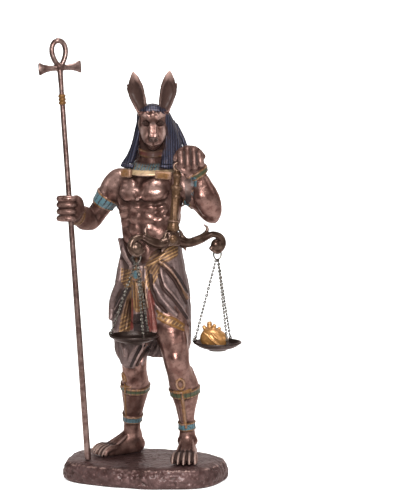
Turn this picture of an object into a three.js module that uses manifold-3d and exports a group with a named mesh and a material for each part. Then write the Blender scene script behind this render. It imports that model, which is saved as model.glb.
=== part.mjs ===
// A standing jackal-headed figurine in cold-cast bronze, with an ankh staff in its right fist and a pair of
// scales in its left. Millimetres, +Z up, the figure faces -Y. The origin is the middle of the plinth's underside.
import * as THREE from "three";
import { mergeVertices } from "three/addons/utils/BufferGeometryUtils.js";
import Module from "manifold-3d";

const wasm = await Module();
wasm.setup();

// Driving dimensions
const GAP = 0.3; // between pieces that touch
const PLINTH = { halfLong: 52, halfDeep: 34, tall: 13, edge: 4 };
const PANS = { radius: 15, deep: 5, wall: 1.1 };
const CHAIN = { radius: 0.85, waist: 0.4, pitch: 2 };

// Joints of the body, and the radius of the flesh there
const TORSO_AXIS = { x: 3.6, y: 2.5 };
const HEAD = { centre: [5.3, 2.5, 223.4], yawDeg: 14 };
const RIGHT_ARM = [
  { at: [-16, 2, 188.5], r: 8.4 },
  { at: [-22.5, 3.5, 181], r: 7.6 },
  { at: [-29, 3.5, 171.5], r: 6.3 },
  { at: [-34.6, 1.5, 164], r: 6.2 },
  { at: [-36.6, -6, 164.4], r: 6.2 },
  { at: [-38.8, -13.5, 167], r: 4.6 },
  { at: [-40.3, -19, 169.4], r: 4.2 },
];
const LEFT_ARM = [
  { at: [23.5, 4, 188.5], r: 8.4 },
  { at: [30.5, 5, 182], r: 7.4 },
  { at: [38, 3.5, 175], r: 6.4 },
  { at: [44, 0.4, 169.6], r: 6 },
  { at: [44.8, -3.2, 176], r: 6.8 },
  { at: [43, -7, 184.5], r: 5.8 },
  { at: [39.8, -10, 193.5], r: 4.4 },
  { at: [36.6, -12, 198.5], r: 4.4 },
];
const RIGHT_LEG = [
  { at: [-3.4, 3, 124], r: 12 },
  { at: [-4.6, -0.5, 100], r: 10.6 },
  { at: [-4.8, -3.2, 82], r: 8.4 },
  { at: [-5, -3.4, 74], r: 7.9 },
  { at: [-6, 0.6, 66], r: 7.8 },
  { at: [-7.2, 4.4, 57], r: 8.3 },
  { at: [-9, 7.8, 45], r: 6.7 },
  { at: [-11, 11, 34], r: 5.4 },
  { at: [-11.6, 12.4, 24], r: 5.6 },
];
const LEFT_LEG = [
  { at: [13.6, 2, 124], r: 12.4 },
  { at: [18.4, -3.6, 100], r: 11 },
  { at: [22.4, -6, 84], r: 8.8 },
  { at: [23.7, -6.2, 76], r: 7.9 },
  { at: [24.6, -2.4, 68], r: 7.9 },
  { at: [25.8, 1.8, 59], r: 8.7 },
  { at: [26.2, 4.6, 47], r: 6.4 },
  { at: [26.8, 6, 35], r: 4.9 },
  { at: [27, 6.6, 24], r: 5.4 },
];
const FEET = {
  right: { ankle: [-12, 13], toeOutDeg: -43, long: 32 },
  left: { ankle: [27, 7], toeOutDeg: 10, long: 33 },
};
const RIGHT_FIST = [-42, -22, 172];
const LEFT_FIST = [33.8, -13, 204.5];

// The staff stands on the plinth and leans out through the right fist
const STAFF = { foot: [-31.6, -17.4, PLINTH.tall + GAP], head: [-44.6, -24.6, 243.4], footRadius: 1.9, headRadius: 1.45 };
const ANKH = { loopTall: 16.6, loopWide: 10.4, bar: 1.55, arm: 12.4, turnDeg: 34 };

// The scales: a turned post with a scrolled beam, seen from above turned away from the figure's chest
const BEAM = { boss: [24, -16.6, 155], turnDeg: 36, rightArm: 22.4, leftArm: 28.6, scroll: 4.6 };

const DEG = Math.PI / 180;
const vec = (a) => new THREE.Vector3(...a);

// A closed three.js geometry as a solid that can be joined and cut
function solidOf(geometry) {
  const g = geometry.index ? geometry.toNonIndexed() : geometry.clone();
  g.deleteAttribute("normal");
  g.deleteAttribute("uv");
  const merged = mergeVertices(g, 1e-3);
  const mesh = new wasm.Mesh({
    numProp: 3,
    vertProperties: merged.attributes.position.array,
    triVerts: new Uint32Array(merged.index.array),
  });
  return new wasm.Manifold(mesh);
}

function geometryOf(solid) {
  const mesh = solid.getMesh();
  const geometry = new THREE.BufferGeometry();
  geometry.setAttribute("position", new THREE.BufferAttribute(mesh.vertProperties, mesh.numProp));
  geometry.setIndex(new THREE.BufferAttribute(mesh.triVerts, 1));
  return geometry;
}

const join = (solids) => solids.reduce((a, b) => a.add(b));

// The one body that is left when small voids between joined shapes are filled
function filled(solid) {
  const skins = solid.decompose().sort((a, b) => b.volume() - a.volume());
  return skins[0];
}

// A closed skin through rings of points, which all have the same number of points and run the same way round
function loft(rings) {
  const sides = rings[0].length;
  const points = rings.flat();
  const middle = (ring) => ring.reduce((sum, p) => sum.add(p), new THREE.Vector3()).divideScalar(sides);
  const last = (rings.length - 1) * sides;
  const lowMiddle = points.push(middle(rings[0])) - 1;
  const highMiddle = points.push(middle(rings.at(-1))) - 1;
  const faces = [];
  for (let i = 0; i < sides; i++) {
    const next = (i + 1) % sides;
    faces.push(lowMiddle, next, i, highMiddle, last + i, last + next);
    for (let row = 0; row < last; row += sides) {
      faces.push(row + i, row + next, row + sides + next, row + i, row + sides + next, row + sides + i);
    }
  }
  const geometry = new THREE.BufferGeometry().setFromPoints(points);
  geometry.setIndex(faces);
  const made = solidOf(geometry);
  return made.volume() > 0 ? made : solidOf(flipped(geometry));
}

function flipped(geometry) {
  const index = [...geometry.index.array];
  for (let i = 0; i < index.length; i += 3) [index[i + 1], index[i + 2]] = [index[i + 2], index[i + 1]];
  return new THREE.BufferGeometry().setAttribute("position", geometry.attributes.position).setIndex(index);
}

// A level ring. reach(angle) gives the outward factor at each angle; angle 0 is +X and -90 degrees is the front
function levelRing(x, y, z, wide, deep, sides, reach = () => 1, height = () => 0) {
  return Array.from({ length: sides }, (_, i) => {
    const angle = (i / sides) * 2 * Math.PI;
    const out = reach(angle);
    return new THREE.Vector3(
      x + wide * out * Math.cos(angle),
      y + deep * out * Math.sin(angle),
      z + height(angle),
    );
  });
}

// A limb along its joints, round in section, closed by small end rings
function limb(joints, sides, steps) {
  const curve = new THREE.CatmullRomCurve3(joints.map((j) => vec(j.at)));
  const spans = joints.length - 1;
  const across = new THREE.Vector3();
  const rings = [];
  let reference = null;
  for (let i = 0; i <= steps; i++) {
    const t = i / steps;
    const span = Math.min(spans - 1, Math.floor(t * spans));
    const share = t * spans - span;
    const smooth = share * share * (3 - 2 * share);
    const radius = joints[span].r + (joints[span + 1].r - joints[span].r) * smooth;
    const along = curve.getTangent(t);
    const centre = curve.getPoint(t);
    reference = reference ?? new THREE.Vector3().crossVectors(along, new THREE.Vector3(0, 1, 0.01)).normalize();
    reference.sub(along.clone().multiplyScalar(reference.dot(along))).normalize();
    across.crossVectors(along, reference);
    const ring = (r, offset) =>
      Array.from({ length: sides }, (_, k) => {
        const a = (k / sides) * 2 * Math.PI;
        return centre
          .clone()
          .addScaledVector(reference, r * Math.cos(a))
          .addScaledVector(across, r * Math.sin(a))
          .addScaledVector(along, offset);
      });
    if (i === 0) rings.push(ring(radius * 0.6, -radius * 0.55));
    rings.push(ring(radius, 0));
    if (i === steps) rings.push(ring(radius * 0.6, radius * 0.55));
  }
  return loft(rings);
}

// A rod of two radii between two points, with blunt ends: a finger joint, toe or claw
function rod(from, to, r0, r1, sides = 6) {
  return limb([{ at: from, r: r0 }, { at: to, r: r1 }], sides, 1);
}

function ball(at, radii, turn = [0, 0, 0], across = 12, up = 8) {
  const geometry = new THREE.SphereGeometry(1, across, up);
  geometry.rotateX(Math.PI / 2);
  geometry.scale(...radii);
  geometry.applyMatrix4(new THREE.Matrix4().makeRotationFromEuler(new THREE.Euler(...turn.map((d) => d * DEG))));
  geometry.translate(...at);
  return solidOf(geometry);
}

// A band round a limb: a short sleeve that stands proud of the flesh
function band(at, along, radius, tall, sides = 12) {
  const geometry = new THREE.CylinderGeometry(radius, radius, tall, sides);
  geometry.applyQuaternion(
    new THREE.Quaternion().setFromUnitVectors(new THREE.Vector3(0, 1, 0), vec(along).normalize()),
  );
  geometry.translate(...at);
  return solidOf(geometry);
}

function box(at, size, turn = [0, 0, 0]) {
  const geometry = new THREE.BoxGeometry(...size);
  geometry.applyMatrix4(new THREE.Matrix4().makeRotationFromEuler(new THREE.Euler(...turn.map((d) => d * DEG))));
  geometry.translate(...at);
  return solidOf(geometry);
}

// How far an angle and height are inside a soft round bump, from 0 outside to 1 in its middle
function bump(angle, z, angleAt, zAt, halfAngle, halfTall) {
  const turn = Math.atan2(Math.sin(angle - angleAt * DEG), Math.cos(angle - angleAt * DEG));
  const away = (turn / (halfAngle * DEG)) ** 2 + ((z - zAt) / halfTall) ** 2;
  return away < 1 ? (1 - away) ** 1.5 : 0;
}

// Flesh of the trunk: chest, rows of the belly, flanks and shoulder blades, as soft bumps on an oval trunk
function torso() {
  const widths = [
    [112, 17.5, 13.5], [136, 18, 12.8], [147, 17.4, 11.8], [151, 17.5, 11.6], [155.5, 17.8, 11.7],
    [159.5, 18.2, 11.9], [164, 19, 12.3], [168, 19.8, 12.7], [171.5, 20.6, 13.1], [176, 21.4, 13.4],
    [180, 22, 13.6], [185, 22.2, 13.6], [190, 20.8, 12.4], [195, 15.6, 10.4], [202, 9, 8.4],
  ];
  const bellyRows = [[147, 0.07], [155.5, 0.1], [164, 0.1], [171, 0.08]];
  const shape = (z) => (angle) => {
    let out = 1;
    for (const side of [-1, 1]) {
      out += 0.3 * bump(angle, z, -90 + side * 33, 183.5, 31, 9.5); // chest
      out += 0.12 * bump(angle, z, 90 + side * 35, 184, 35, 13); // shoulder blades
      out += 0.07 * bump(angle, z, -90 + side * 68, 168, 22, 10); // flank
      for (const [row, tall] of bellyRows) out += tall * bump(angle, z, -90 + side * 17, row, 17, 5);
    }
    return out;
  };
  return loft(
    widths.map(([z, wide, deep]) => levelRing(TORSO_AXIS.x, TORSO_AXIS.y, z, wide, deep, 26, shape(z))),
  );
}

// The wrapped kilt: radial pleats on a bell, over a hollow from below, with a hem that dips at the back and
// over the right leg and lifts over the left thigh
const KILT = {
  axis: [4.6, 3],
  rows: [
    { down: 0, wide: 18.6, deep: 13.6 },
    { down: 0.12, wide: 20, deep: 15 },
    { down: 0.28, wide: 22, deep: 17 },
    { down: 0.46, wide: 24, deep: 18.8 },
    { down: 0.64, wide: 25, deep: 19.8 },
    { down: 0.82, wide: 25.2, deep: 20 },
    { down: 1, wide: 24.6, deep: 19.2 },
  ],
  pleats: 17,
  pleatDeep: 0.045,
  wall: 2.2,
};

// Height of the kilt's waist and hem at each angle round the body
function waistAt(angle) {
  const front = bump(angle, 0, -98, 0, 75, 1);
  return 153 - 15 * front;
}

function hemAt(angle) {
  const back = bump(angle, 0, 90, 0, 108, 1);
  const thigh = bump(angle, 0, -48, 0, 62, 1);
  const drape = bump(angle, 0, -118, 0, 48, 1);
  return 90 - 16 * back + 14 * thigh - 17 * drape;
}

function kilt() {
  const sides = 2 * KILT.pleats;
  const skin = (inset, sideCount, lowest) =>
    KILT.rows.map(({ down, wide, deep }) => {
      const fold = (angle) => 1 + (inset ? 0 : KILT.pleatDeep * down * Math.cos(KILT.pleats * (angle + down * 0.8)));
      const height = (angle) => {
        const top = inset ? 108 : waistAt(angle);
        const low = inset ? lowest : hemAt(angle);
        return top + (low - top) * down;
      };
      const [x, y] = KILT.axis;
      return levelRing(x, y, 0, wide - inset, deep - inset, sideCount, fold, height);
    });
  return loft(skin(0, sides)).subtract(loft(skin(KILT.wall, 16, 60)));
}

// Belt, knot, apron and the two hanging ribbons in front of the kilt
function beltAndApron() {
  const [x, y] = KILT.axis;
  const belt = loft(
    [[2.6, 0.4], [2.6, 1.5], [-2.6, 1.9], [-2.6, 0.6]].map(([up, out]) =>
      levelRing(x, y, 0, 18.2 + out, 13.2 + out, 24, () => 1, (angle) => waistAt(angle) - 1.5 + up),
    ),
  );
  const plate = (top, low, wideTop, wideLow, thick) =>
    loft(
      [[top, wideTop], [low, wideLow]].map(([at, wide]) =>
        [[-1, 0], [-0.6, -1], [0.6, -1], [1, 0], [0.9, 1.2], [-0.9, 1.2]].map(
          ([across, out]) => new THREE.Vector3(at[0] + across * wide, at[1] + out * thick, at[2]),
        ),
      ),
    );
  const apron = plate([1.2, -15.6, 138], [1, -18.4, 104.5], 4.5, 6.4, 1.6);
  const ribbonRight = plate([-2.6, -15.4, 137], [-10, -17.6, 96], 2, 3.4, 1.4);
  const ribbonLeft = plate([5.6, -15.6, 136], [12.2, -17.6, 97], 2, 2.6, 1.4);
  return join([belt, apron, ribbonRight, ribbonLeft, ball([1.2, -16.6, 138.5], [5, 2.6, 4.6])]);
}

// Places a point of the head's own frame: x to the figure's left, y back, z up, from the head's middle
function headPoint(x, y, z) {
  const p = vec([x, y, z]).applyAxisAngle(new THREE.Vector3(0, 0, 1), HEAD.yawDeg * DEG);
  return p.add(vec(HEAD.centre)).toArray();
}

function ear(side) {
  const base = vec(headPoint(side * 6.4, -3.5, 6.5));
  const tip = vec(headPoint(side * 12, -1.5, 34.2));
  const profile = [[0, 3.1, 2.6], [0.14, 4.1, 2.5], [0.32, 5.2, 2.1], [0.52, 5.4, 1.8], [0.72, 4.2, 1.5], [0.88, 2.4, 1.2], [1, 0.7, 0.7]];
  const face = vec([side * 0.35, -1, 0]).applyAxisAngle(new THREE.Vector3(0, 0, 1), HEAD.yawDeg * DEG).normalize();
  const along = tip.clone().sub(base).normalize();
  const across = new THREE.Vector3().crossVectors(face, along).normalize();
  const rings = profile.map(([t, wide, thick]) => {
    const centre = base.clone().lerp(tip, t).addScaledVector(across, side * 1.6 * Math.sin(Math.PI * t));
    const cup = thick * 0.75 * Math.sin(Math.PI * Math.min(1, t + 0.15));
    return Array.from({ length: 8 }, (_, k) => {
      const a = (k / 8) * 2 * Math.PI;
      const dish = Math.sin(a) > 0.3 ? Math.sin(a) * thick * 0.5 - cup : Math.sin(a) * thick * 0.5;
      return centre
        .clone()
        .addScaledVector(across, wide * Math.cos(a))
        .addScaledVector(face, dish);
    });
  });
  return loft(rings);
}

function head() {
  const skull = ball(headPoint(0, 0, 1), [9.2, 10.2, 11.2], [0, 0, HEAD.yawDeg], 12, 8);
  const cheeks = ball(headPoint(0, -6, -3.5), [8.8, 8.2, 8.2], [12, 0, HEAD.yawDeg], 10, 6);
  const muzzle = limb(
    [
      { at: headPoint(0, -7, -3), r: 7.2 },
      { at: headPoint(0, -13.5, -5.8), r: 5.6 },
      { at: headPoint(0, -19, -7.4), r: 4.3 },
    ],
    10,
    3,
  );
  const neck = limb([{ at: [4.6, 3.4, 194], r: 9.2 }, { at: [6.4, 2.6, 205], r: 8.2 }, { at: headPoint(0, 1, -8), r: 8.4 }], 10, 3);
  return join([skull, cheeks, muzzle, neck, ear(-1), ear(1)]);
}

// The striped wig: a cap, a fall that spreads over the shoulders behind, and two lappets in front
function wig() {
  const rows = [
    [236.4, 5.6, 4, 4, 4], [235, 5.6, 4.2, 7.6, 7.8], [231, 5.8, 5, 10.8, 10.4], [224, 6.2, 7, 12.8, 10.4],
    [214, 7.4, 9.6, 14.2, 9.6], [204, 7.2, 10.4, 16.4, 8.6], [193, 5.6, 11.4, 16.8, 5.4],
  ];
  const flutes = (angle) => 1 + 0.02 * Math.cos(15 * angle);
  const fall = loft(rows.map(([z, x, y, wide, deep]) => levelRing(x, y, z, wide, deep, 30, flutes)));
  const lappet = (side) => {
    const spine = [
      [...headPoint(side * 9.4, -0.4, 3), 3, 4.4],
      [...headPoint(side * 10.2, -0.6, -8), 3.6, 4.4],
      [5.4 + side * 10.2, -5.4, 206, 3.4, 2.8],
      [5.5 + side * 11.6, -11, 196.6, 3.9, 2],
    ];
    return loft(spine.map(([x, y, z, wide, deep]) => levelRing(x, y, z, wide, deep, 8)));
  };
  return join([fall, lappet(-1), lappet(1)]);
}

// Collar crescent with the two gold blocks that end the lappets
function collar() {
  const crescent = loft(
    [[198.6, 11.6, 10.4], [195.6, 14.6, 14.2], [192.6, 16, 15.6], [190.6, 15, 14.4]].map(([z, wide, deep]) =>
      levelRing(4.4, 2, z, wide, deep, 20, () => 1, (angle) => 2.2 * Math.sin(angle)),
    ),
  );
  const blocks = [
    box([-7.6, -13.2, 192.4], [8.8, 3, 5.6], [-14, 0, -14]),
    box([17, -13, 192.4], [9.6, 3, 5.6], [-14, 0, 10]),
  ];
  return join([crescent, ...blocks]);
}

// A foot: heel, instep and ball as one skin, five toes, and a claw on each
function foot({ ankle, toeOutDeg, long }, side) {
  const turn = new THREE.Matrix4().makeRotationZ(toeOutDeg * DEG);
  const floor = PLINTH.tall + GAP;
  const place = (across, ahead, up) =>
    vec([across, -ahead, 0]).applyMatrix4(turn).add(vec([...ankle, floor + up])).toArray();
  const reach = long - 11;
  const sections = [[-8.4, 3.2, 4], [-6.4, 5, 8.5], [0, 5.6, 12.6], [6, 5.8, 11], [12, 6.8, 8], [reach - 3, 7.6, 6], [reach, 7.2, 4.4]];
  const sole = loft(
    sections.map(([ahead, wide, tall]) =>
      Array.from({ length: 12 }, (_, k) => {
        const a = (k / 12) * 2 * Math.PI;
        const up = Math.sin(a) > 0 ? tall * (0.25 + 0.75 * Math.sin(a)) : tall * 0.25 * (1 + Math.sin(a));
        return vec(place(wide * Math.cos(a), ahead, up));
      }),
    ),
  );
  const toes = [-2, -1, 0, 1, 2].map((n) => {
    const inward = side * n;
    const across = inward * 2.9;
    const start = reach - 3 - Math.abs(n) * 0.6;
    const end = reach + 3.6 - Math.abs(n) * 1.2 - (n * side > 0 ? 0 : 0.4);
    const knuckle = place(across, start + 2.4, 4.2);
    const pad = place(across * 1.08, end, 2.4);
    const tip = place(across * 1.1, end + 3.4, 0.9);
    const joints = [[place(across * 0.9, start - 2, 3.4), 1.8], [knuckle, 1.9], [pad, 1.5], [tip, 0.4]];
    return limb(joints.map(([at, r]) => ({ at, r })), 5, 3);
  });
  const below = box([ankle[0], ankle[1], floor - 5], [90, 90, 10]);
  return join([sole, ...toes]).subtract(below);
}

// The right fist: palm behind the staff, four fingers wrapped round its front, and the thumb
function rightFist() {
  const [x, y, z] = RIGHT_FIST;
  const palm = ball([x + 2.4, y + 2.8, z + 0.2], [6.4, 5.2, 7.8], [0, 5, 20], 10, 6);
  const fingers = [0, 1, 2, 3].map((n) => {
    const up = z + 5.9 - n * 3.9;
    const lean = -0.28 * n;
    const size = n === 3 ? 1.85 : 2.05;
    const knuckle = [x + 4.6 + lean, y - 3.6, up + 0.4];
    const middle = [x - 3.4 + lean, y - 5, up];
    const tip = [x - 5.6 + lean, y - 0.6, up - 0.2];
    const joints = [[x + 6 + lean, y + 0.4, up + 0.5], knuckle, middle, tip];
    return limb(joints.map((at) => ({ at, r: size })), 5, 3);
  });
  const thumb = rod([x + 3, y + 5, z + 5.4], [x - 3.4, y + 2.8, z + 7.6], 2.3, 2);
  return join([palm, ...fingers, thumb]);
}

// The left fist, raised, its fingers curled down towards the viewer and the thumb over the ring of the scales
function leftFist() {
  const [x, y, z] = LEFT_FIST;
  const palm = ball([x + 0.6, y + 2, z], [6.8, 6, 7], [10, 20, 18], 10, 6);
  const fingers = [0, 1, 2, 3].map((n) => {
    const across = x - 5.6 + n * 3.5;
    const back = y + 0.5 + n * 0.7;
    const size = n === 3 ? 1.8 : 2;
    const top = [across, back + 1.5, z + 6.6 - Math.abs(n - 1) * 0.8];
    const knuckle = [across + 0.2, back - 5.4, z + 4.6 - Math.abs(n - 1) * 0.8];
    const low = [across + 0.6, back - 6.4, z - 3];
    const joints = [top, knuckle, low, [across + 0.8, back - 1, z - 5]];
    return limb(joints.map((at) => ({ at, r: size })), 5, 3);
  });
  const thumbJoints = [[x - 3.4, y + 1.5, z - 2], [x - 8.4, y - 3, z - 1.6], [x - 8.6, y - 5.6, z + 2.6]];
  const thumb = limb(thumbJoints.map((at) => ({ at, r: 2.1 })), 5, 2);
  return join([palm, ...fingers, thumb]);
}

// Painted jewellery that stands proud of the flesh: arm bands, wrist band, garters and anklets
function jewellery() {
  return join([
    band([-25.2, 3.6, 176.4], [-6.5, 0.3, -9.3], 8.1, 6.4),
    band([34, 4.4, 178.8], [7.4, -1.4, -7.2], 8.1, 6),
    band([38.8, -10.8, 195.2], [-3.2, -2.4, 6], 5.9, 4.2),
    band([-7.6, 5.2, 54.6], [1, -1.6, 6], 9.1, 4.4),
    band([-10.9, 10.7, 35.2], [1, -1.6, 6], 6.4, 5.4),
    band([26, 2.4, 56.6], [-0.2, -1.2, 6], 9.4, 4.8),
    band([26.8, 5.8, 34], [-0.2, -0.7, 6], 6, 5.4),
  ]);
}

// Ankhs that lie along the shins, from the garter to the anklet
function shinAnkhs() {
  const one = (knee, ankle, out) => {
    const top = vec(knee);
    const low = vec(ankle);
    const loop = new THREE.TorusGeometry(2.3, 0.6, 4, 8);
    loop.scale(0.85, 1.5, 1);
    loop.rotateX(Math.PI / 2);
    loop.applyQuaternion(new THREE.Quaternion().setFromUnitVectors(new THREE.Vector3(0, -1, 0), vec(out).normalize()));
    loop.translate(...top.clone().add(vec([0, 0, 3.4])).toArray());
    return solidOf(loop).add(rod(top.toArray(), low.toArray(), 0.9, 0.8, 4));
  };
  return join([
    one([-12.2, -2.6, 56.4], [-13.6, 5.4, 36], [-0.6, -1, 0]),
    one([24.6, -7.2, 58.6], [26.4, 0, 36], [0, -1, 0]),
  ]);
}

function staffAxis() {
  const from = vec(STAFF.foot);
  const to = vec(STAFF.head);
  return { from, to, along: to.clone().sub(from).normalize(), long: from.distanceTo(to) };
}

// Everything cast in one with the body
function figure() {
  const flesh = join([
    torso(),
    limb(RIGHT_ARM, 10, 10),
    limb(LEFT_ARM, 10, 11),
    limb(RIGHT_LEG, 12, 12),
    limb(LEFT_LEG, 12, 12),
    head(),
    foot(FEET.right, -1),
    foot(FEET.left, 1),
    rightFist(),
    leftFist(),
  ]);
  const dress = join([kilt(), beltAndApron(), wig(), collar(), jewellery(), shinAnkhs()]);
  const { from, along, long } = staffAxis();
  const shaftHole = new THREE.CylinderGeometry(STAFF.headRadius + 0.75, STAFF.footRadius + 0.6, long, 8);
  shaftHole.applyQuaternion(new THREE.Quaternion().setFromUnitVectors(new THREE.Vector3(0, 1, 0), along));
  shaftHole.translate(...from.clone().addScaledVector(along, long / 2).toArray());
  const ringRoom = box([RING.at[0], RING.at[1], RING.at[2]], [7.2, 2.6, 7.4], [0, 0, RING.turnDeg]);
  return filled(flesh.add(dress).subtract(solidOf(shaftHole)).subtract(ringRoom));
}

// The plinth: an oval slab of rough rock with a rounded, uneven edge and a flat underside
function plinth() {
  const { halfLong, halfDeep, tall, edge } = PLINTH;
  const rough = (angle) =>
    1 + 0.018 * Math.sin(3 * angle + 0.6) + 0.014 * Math.sin(5 * angle + 2.1) + 0.01 * Math.sin(9 * angle);
  const rows = [
    [0, -1.6], [1.6, -0.2], [tall * 0.45, 0], [tall - edge, -0.6], [tall - edge * 0.4, -2], [tall, -5],
  ];
  const squareness = (angle) => {
    const c = Math.abs(Math.cos(angle)) ** 2.35;
    const s = Math.abs(Math.sin(angle)) ** 2.35;
    return (c + s) ** (-1 / 2.35);
  };
  return loft(
    rows.map(([z, out]) =>
      levelRing(0, 0, z, halfLong + out, halfDeep + out, 40, (angle) => rough(angle) * squareness(angle)),
    ),
  );
}

// The staff's tapered shaft with three gold rings near the top
function shaft() {
  const { long } = staffAxis();
  const { footRadius, headRadius } = STAFF;
  const profile = [[0, 0], [footRadius, 0], [headRadius, long - 6]];
  for (let ring = 0; ring < 3; ring++) {
    const low = long - 6 + ring * 2;
    profile.push([headRadius + 0.75, low + 0.35], [headRadius + 0.75, low + 1.65], [headRadius + 0.2, low + 2]);
  }
  profile.push([headRadius + 0.2, long + 0.3], [0, long + 0.3]);
  return solidOf(new THREE.LatheGeometry(profile.map(([r, y]) => new THREE.Vector2(r, y)), 10));
}

// The ankh that tops the staff, flat in its own XY plane, with its stem from y = 0 up
function ankh() {
  const { loopTall, loopWide, bar, arm } = ANKH;
  const stemTall = 17.6;
  const shape = new THREE.Shape();
  const half = loopWide / 2;
  shape.moveTo(0, -bar);
  shape.bezierCurveTo(half * 0.8, loopTall * 0.3, half, loopTall * 0.5, half, loopTall * 0.64);
  shape.absellipse(0, loopTall * 0.64, half, loopTall * 0.36, 0, Math.PI, false);
  shape.bezierCurveTo(-half, loopTall * 0.5, -half * 0.8, loopTall * 0.3, 0, -bar);
  const hole = new THREE.Path();
  const inner = half - 2.5;
  hole.moveTo(0, loopTall * 0.24);
  hole.bezierCurveTo(-inner * 0.7, loopTall * 0.42, -inner, loopTall * 0.5, -inner, loopTall * 0.64);
  hole.absellipse(0, loopTall * 0.64, inner, loopTall * 0.36 - 2.6, Math.PI, 0, true);
  hole.bezierCurveTo(inner, loopTall * 0.5, inner * 0.7, loopTall * 0.42, 0, loopTall * 0.24);
  shape.holes.push(hole);
  const thick = 3.2;
  const loop = new THREE.ExtrudeGeometry(shape, { depth: thick, bevelEnabled: false, curveSegments: 5 });
  loop.translate(0, stemTall, -thick / 2);
  const stem = new THREE.CylinderGeometry(1.5, 1.9, stemTall, 8);
  stem.translate(0, stemTall / 2, 0);
  const armShape = new THREE.Shape();
  armShape.moveTo(0, -1.5);
  armShape.quadraticCurveTo(arm * 0.6, -1.4, arm, -3.4);
  armShape.quadraticCurveTo(arm + 0.9, 0, arm, 3.4);
  armShape.quadraticCurveTo(arm * 0.6, 1.4, 0, 1.5);
  const armSolid = (mirror) => {
    const geometry = new THREE.ExtrudeGeometry(armShape, { depth: 2.8, bevelEnabled: false, curveSegments: 3 });
    geometry.translate(0, stemTall - 1.2, -1.4);
    if (mirror) geometry.rotateY(Math.PI);
    return solidOf(geometry);
  };
  return join([solidOf(stem), solidOf(loop), armSolid(false), armSolid(true)]);
}

function staff() {
  const { from, along, long } = staffAxis();
  const yUp = new THREE.Quaternion().setFromUnitVectors(new THREE.Vector3(0, 1, 0), along);
  const turned = new THREE.Quaternion().setFromAxisAngle(new THREE.Vector3(0, 1, 0), ANKH.turnDeg * DEG);
  const placed = (solid, lift, turn) => {
    const geometry = geometryOf(solid);
    geometry.applyQuaternion(turn);
    geometry.translate(0, lift, 0);
    geometry.applyQuaternion(yUp);
    geometry.translate(...from.toArray());
    return solidOf(geometry);
  };
  return placed(shaft(), 0, new THREE.Quaternion()).add(placed(ankh(), long, turned));
}

// Points of the beam are given along it (u, to the figure's left) and above the boss (w)
function beamPoint(u, w, out = 0) {
  const turn = BEAM.turnDeg * DEG;
  const [x, y, z] = BEAM.boss;
  return [x + u * Math.cos(turn) + out * Math.sin(turn), y + u * Math.sin(turn) - out * Math.cos(turn), z + w];
}

const RING = { at: [27.3, -15.8, 199.4], radius: 2.4, wire: 0.8, turnDeg: 20 };

function ringSolid(at, radius, wire, turn, stretch = 1, sides = 10) {
  const geometry = new THREE.TorusGeometry(radius, wire, 4, sides);
  geometry.scale(1, stretch, 1);
  geometry.rotateX(Math.PI / 2);
  geometry.rotateZ(turn * DEG);
  geometry.translate(...at);
  return solidOf(geometry);
}

// Post, boss and the scrolled beam of the scales, with the ring that hangs in the fist
function balance() {
  const [x, y, z] = BEAM.boss;
  const profile = [
    [0, 3.2], [2.9, 3.2], [2.9, 4.6], [3.6, 5.8], [3.7, 10], [2.9, 20], [2.4, 29.6],
    [3.3, 30.6], [3.3, 32.4], [2.1, 33.6], [2.3, 38], [2.9, 39.4], [1.6, 41.6], [0, 41.8],
  ];
  const lathe = new THREE.LatheGeometry(profile.map(([r, h]) => new THREE.Vector2(r, h)), 10);
  lathe.rotateX(Math.PI / 2);
  lathe.applyQuaternion(new THREE.Quaternion().setFromUnitVectors(new THREE.Vector3(0, 0, 1), vec([0.075, 0.02, 1]).normalize()));
  lathe.translate(x, y, z);
  const boss = box([x, y, z], [7.4, 6.2, 8], [0, 0, BEAM.turnDeg]);
  const button = ball(beamPoint(-0.6, 0, 3), [2.6, 1.8, 2.6], [0, 0, BEAM.turnDeg], 8, 6);
  const arm = (side, long) => {
    const s = BEAM.scroll;
    const end = long - s * 0.2;
    const tube = (points, sides, steps) =>
      limb(points.map(([u, w, r]) => ({ at: beamPoint(side * u, w), r })), sides, steps);
    const sweep = [
      [2, -1, 2.7], [end * 0.36, -3, 2.6], [end * 0.66, -1.4, 2.2], [end * 0.86, 1, 1.9], [end, 1.7, 1.8],
      [end + s, -0.4, 1.9], [end + s * 1.24, -s * 1.1, 2], [end + s * 0.5, -s * 1.95, 2], [end - s * 0.4, -s * 1.5, 1.8],
    ];
    const main = tube(sweep, 6, 16);
    const core = ball(beamPoint(side * (end + s * 0.4), -s * 1.05), [s * 0.9, 2.6, s * 0.9], [0, 0, BEAM.turnDeg], 8, 6);
    const upperLeaf = tube([[end * 0.6, -0.4, 1.5], [end * 0.8, 2.6, 1.4], [end * 0.81, 5.6, 1.1], [end * 0.75, 7.4, 0.5]], 4, 3);
    const innerLeaf = tube([[end * 0.36, -2, 1.4], [end * 0.24, 1, 1.3], [end * 0.19, 4.2, 0.9], [end * 0.14, 5.2, 0.5]], 4, 3);
    const spur = tube([[end * 0.16, -3.2, 1.4], [end * 0.28, -5.8, 1], [end * 0.32, -7.6, 0.4]], 4, 2);
    return join([main, core, upperLeaf, innerLeaf, spur]);
  };
  const ring = ringSolid(RING.at, RING.radius, RING.wire, RING.turnDeg);
  const whole = join([solidOf(lathe), boss, button, arm(-1, BEAM.rightArm), arm(1, BEAM.leftArm), ring]);
  const bores = Object.values(HANGERS).map((hanger) => hangerLink(hanger, GAP));
  return filled(whole.subtract(join(bores)));
}

// Where each pan hangs. rim is the height of its edge
const HANGERS = {
  empty: { at: beamPoint(-BEAM.rightArm - 1, 0), rim: [4.6, -35, 96.6] },
  heart: { at: beamPoint(BEAM.leftArm + 1.2, 0), rim: [48.6, -0.6, 89] },
};
const LINK = { radius: 2.3, wire: 0.55, stretch: 1.35, drop: 10.6 };
const RIM_ANGLES = [190, 310, 70];

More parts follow.
